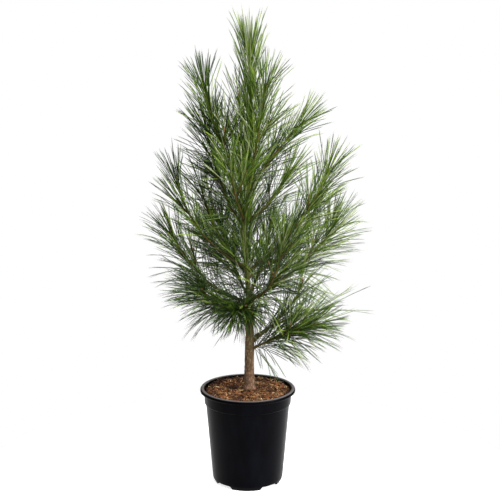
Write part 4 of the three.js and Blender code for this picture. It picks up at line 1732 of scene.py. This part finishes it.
    def strew(self, mound: Object, tree: bpy.types.NodeTree, kind: ChipKind) -> None:
        """Strews one kind of chip over the mound as one plain mesh.

        Args:
            mound: the surface.
            tree: the tree that strews chips.
            kind: the chips' measures.
        """
        chip = kind.pattern()
        chips = new_object(kind.name, mound.data.copy())
        modifier = chips.modifiers.new("strew", "NODES")
        modifier.node_group = tree
        sockets = tree.interface.items_tree
        identifiers = {item.name: item.identifier for item in sockets if item.in_out == "INPUT"}
        values = {
            "Chip": chip,
            "Finish": kind.finish.material(),
            "Per square metre": kind.count_per_dm2 * DM2_IN_M2,
            "Smallest": kind.smallest,
            "Largest": kind.largest,
            "Tilt": kind.tilt,
            "Reach": (self.edge_radius - self.rim_share * kind.length * kind.largest) * MM,
            "Seed": kind.seed,
        }
        for name, value in values.items():
            modifier[identifiers[name]] = value
        freeze(chips, [chip])
        settle(chips)

    def build(self, compost: Material) -> None:
        """Builds the mound and strews every kind of chip.

        Args:
            compost: the mound's finish.
        """
        mound = self.build_mound(compost)
        tree = self.scatter_tree()
        for kind in self.kinds:
            self.strew(mound, tree, kind)
        settle(mound, ["soil"])


# Studio


@dataclass(frozen=True)
class Softbox:
    """A square soft white light: where it stands, what it faces, its side and its power."""

    name: str
    place: Triple
    target: Triple
    side: float
    watts: float

    def build(self) -> None:
        """Makes the light."""
        data = bpy.data.lights.new(self.name, "AREA")
        data.shape, data.size, data.energy = "SQUARE", self.side, self.watts
        lamp = new_object(self.name, data)
        lamp.location = self.place
        lamp.rotation_euler = (Vector(self.target) - Vector(self.place)).to_track_quat("-Z", "Y").to_euler()


@dataclass
class Studio:
    """A white studio: pale floor, soft boxes above and at the sides, and the camera in front.

    The surround lights by the span of strengths from just under the horizon to straight above.
    """

    floor_half: float = 0.62
    floor_drop_mm: float = 0.2
    floor_sides: int = 96
    floor_colour: str = "#f4f4f3"
    floor_roughness: float = 0.9
    floor_shine: float = 0.1
    floor_glow: float = 0.75
    white: Colour = (1.0, 1.0, 1.0, 1.0)
    surround_heights: Span = (-0.1, 1.0)
    surround_strengths: Span = (0.12, 0.42)
    camera_place: Triple = (0.005, -3.0, 1.163)
    camera_pitch: float = 11.99
    focal_px: float = 1415.0
    picture_px: float = 500.0
    sensor_mm: float = 36.0
    boxes: tuple[Softbox, ...] = (
        Softbox("top_box", (0.6, -1.7, 2.4), (0, 0, 0.55), 1.3, 92),
        Softbox("right_box", (2.2, -0.9, 1.3), (0, 0, 0.55), 1.0, 40),
        Softbox("low_box", (1.15, -0.92, 0.36), (0, 0, 0.1), 0.5, 18),
        Softbox("left_box", (-2.3, -1.2, 1.4), (0, 0, 0.5), 1.2, 14),
        Softbox("back_box", (0.5, 2.2, 1.9), (0, 0, 0.6), 1.6, 30),
    )

    def build_floor(self) -> None:
        """Lays the pale floor, which glows a little."""
        glow = {"Emission Color": self.white, "Emission Strength": self.floor_glow}
        surface = Surface("matt_white_laminate")
        material = surface.dress(linear(self.floor_colour), self.floor_roughness, self.floor_shine, glow)
        points = circle(self.floor_half / MM, -self.floor_drop_mm, self.floor_sides)
        mesh_object("floor", points, [range(self.floor_sides)], [material], smooth=False)

    def build_world(self) -> None:
        """Sets a white surround that lights softly, more from above than from the sides."""
        world = bpy.data.worlds.new("studio")
        bpy.context.scene.world = world
        world.use_nodes = True
        graph = Graph(world.node_tree)
        up = graph.upward(graph.add("ShaderNodeTexCoord", "Generated"))
        strength = graph.mapped(up, self.surround_heights, self.surround_strengths)
        seen = graph.add("ShaderNodeLightPath", "Is Camera Ray")
        inputs = {"Factor": seen, "A": strength, "B": 1.0}
        final = graph.add("ShaderNodeMix", "Result", inputs, data_type="FLOAT")
        set_inputs(graph.tree, graph.tree.nodes["Background"], {"Color": self.white, "Strength": final})

    def build_camera(self) -> None:
        """Stands the camera where the photograph was taken from."""
        data = bpy.data.cameras.new("camera")
        data.sensor_width = self.sensor_mm
        data.lens = self.focal_px / self.picture_px * self.sensor_mm
        camera = new_object("camera", data)
        camera.location = self.camera_place
        camera.rotation_euler = (math.radians(90 - self.camera_pitch), 0, 0)
        bpy.context.scene.camera = camera

    def build(self) -> None:
        """Builds camera, floor, surround and lights, and sets plain colours."""
        self.build_camera()
        self.build_floor()
        self.build_world()
        for box in self.boxes:
            box.build()
        bpy.context.scene.view_settings.view_transform = "Standard"
        bpy.context.scene.view_settings.look = "None"


def main() -> None:
    """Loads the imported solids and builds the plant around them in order."""
    logging.basicConfig(level=logging.INFO, format="%(name)s %(message)s")
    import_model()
    Studio().build()
    Pot().build(Polypropylene().material())
    CompostBed().build(Compost().material())
    trunk = Trunk()
    settle(trunk.build(TrunkBark().material()), ["trunk"])
    tones = [
        NeedleFinish(f"{tone.name.lower()}_needle_{face}", colour).material()
        for tone in Tone
        for face, colour in zip(("back", "inner_face"), tone.value)
    ]
    barks = {"young": YoungBark().material(), "bud": BudScales().material()}
    Crown(trunk).grow(barks, tones)


if __name__ == "__main__":
    main()
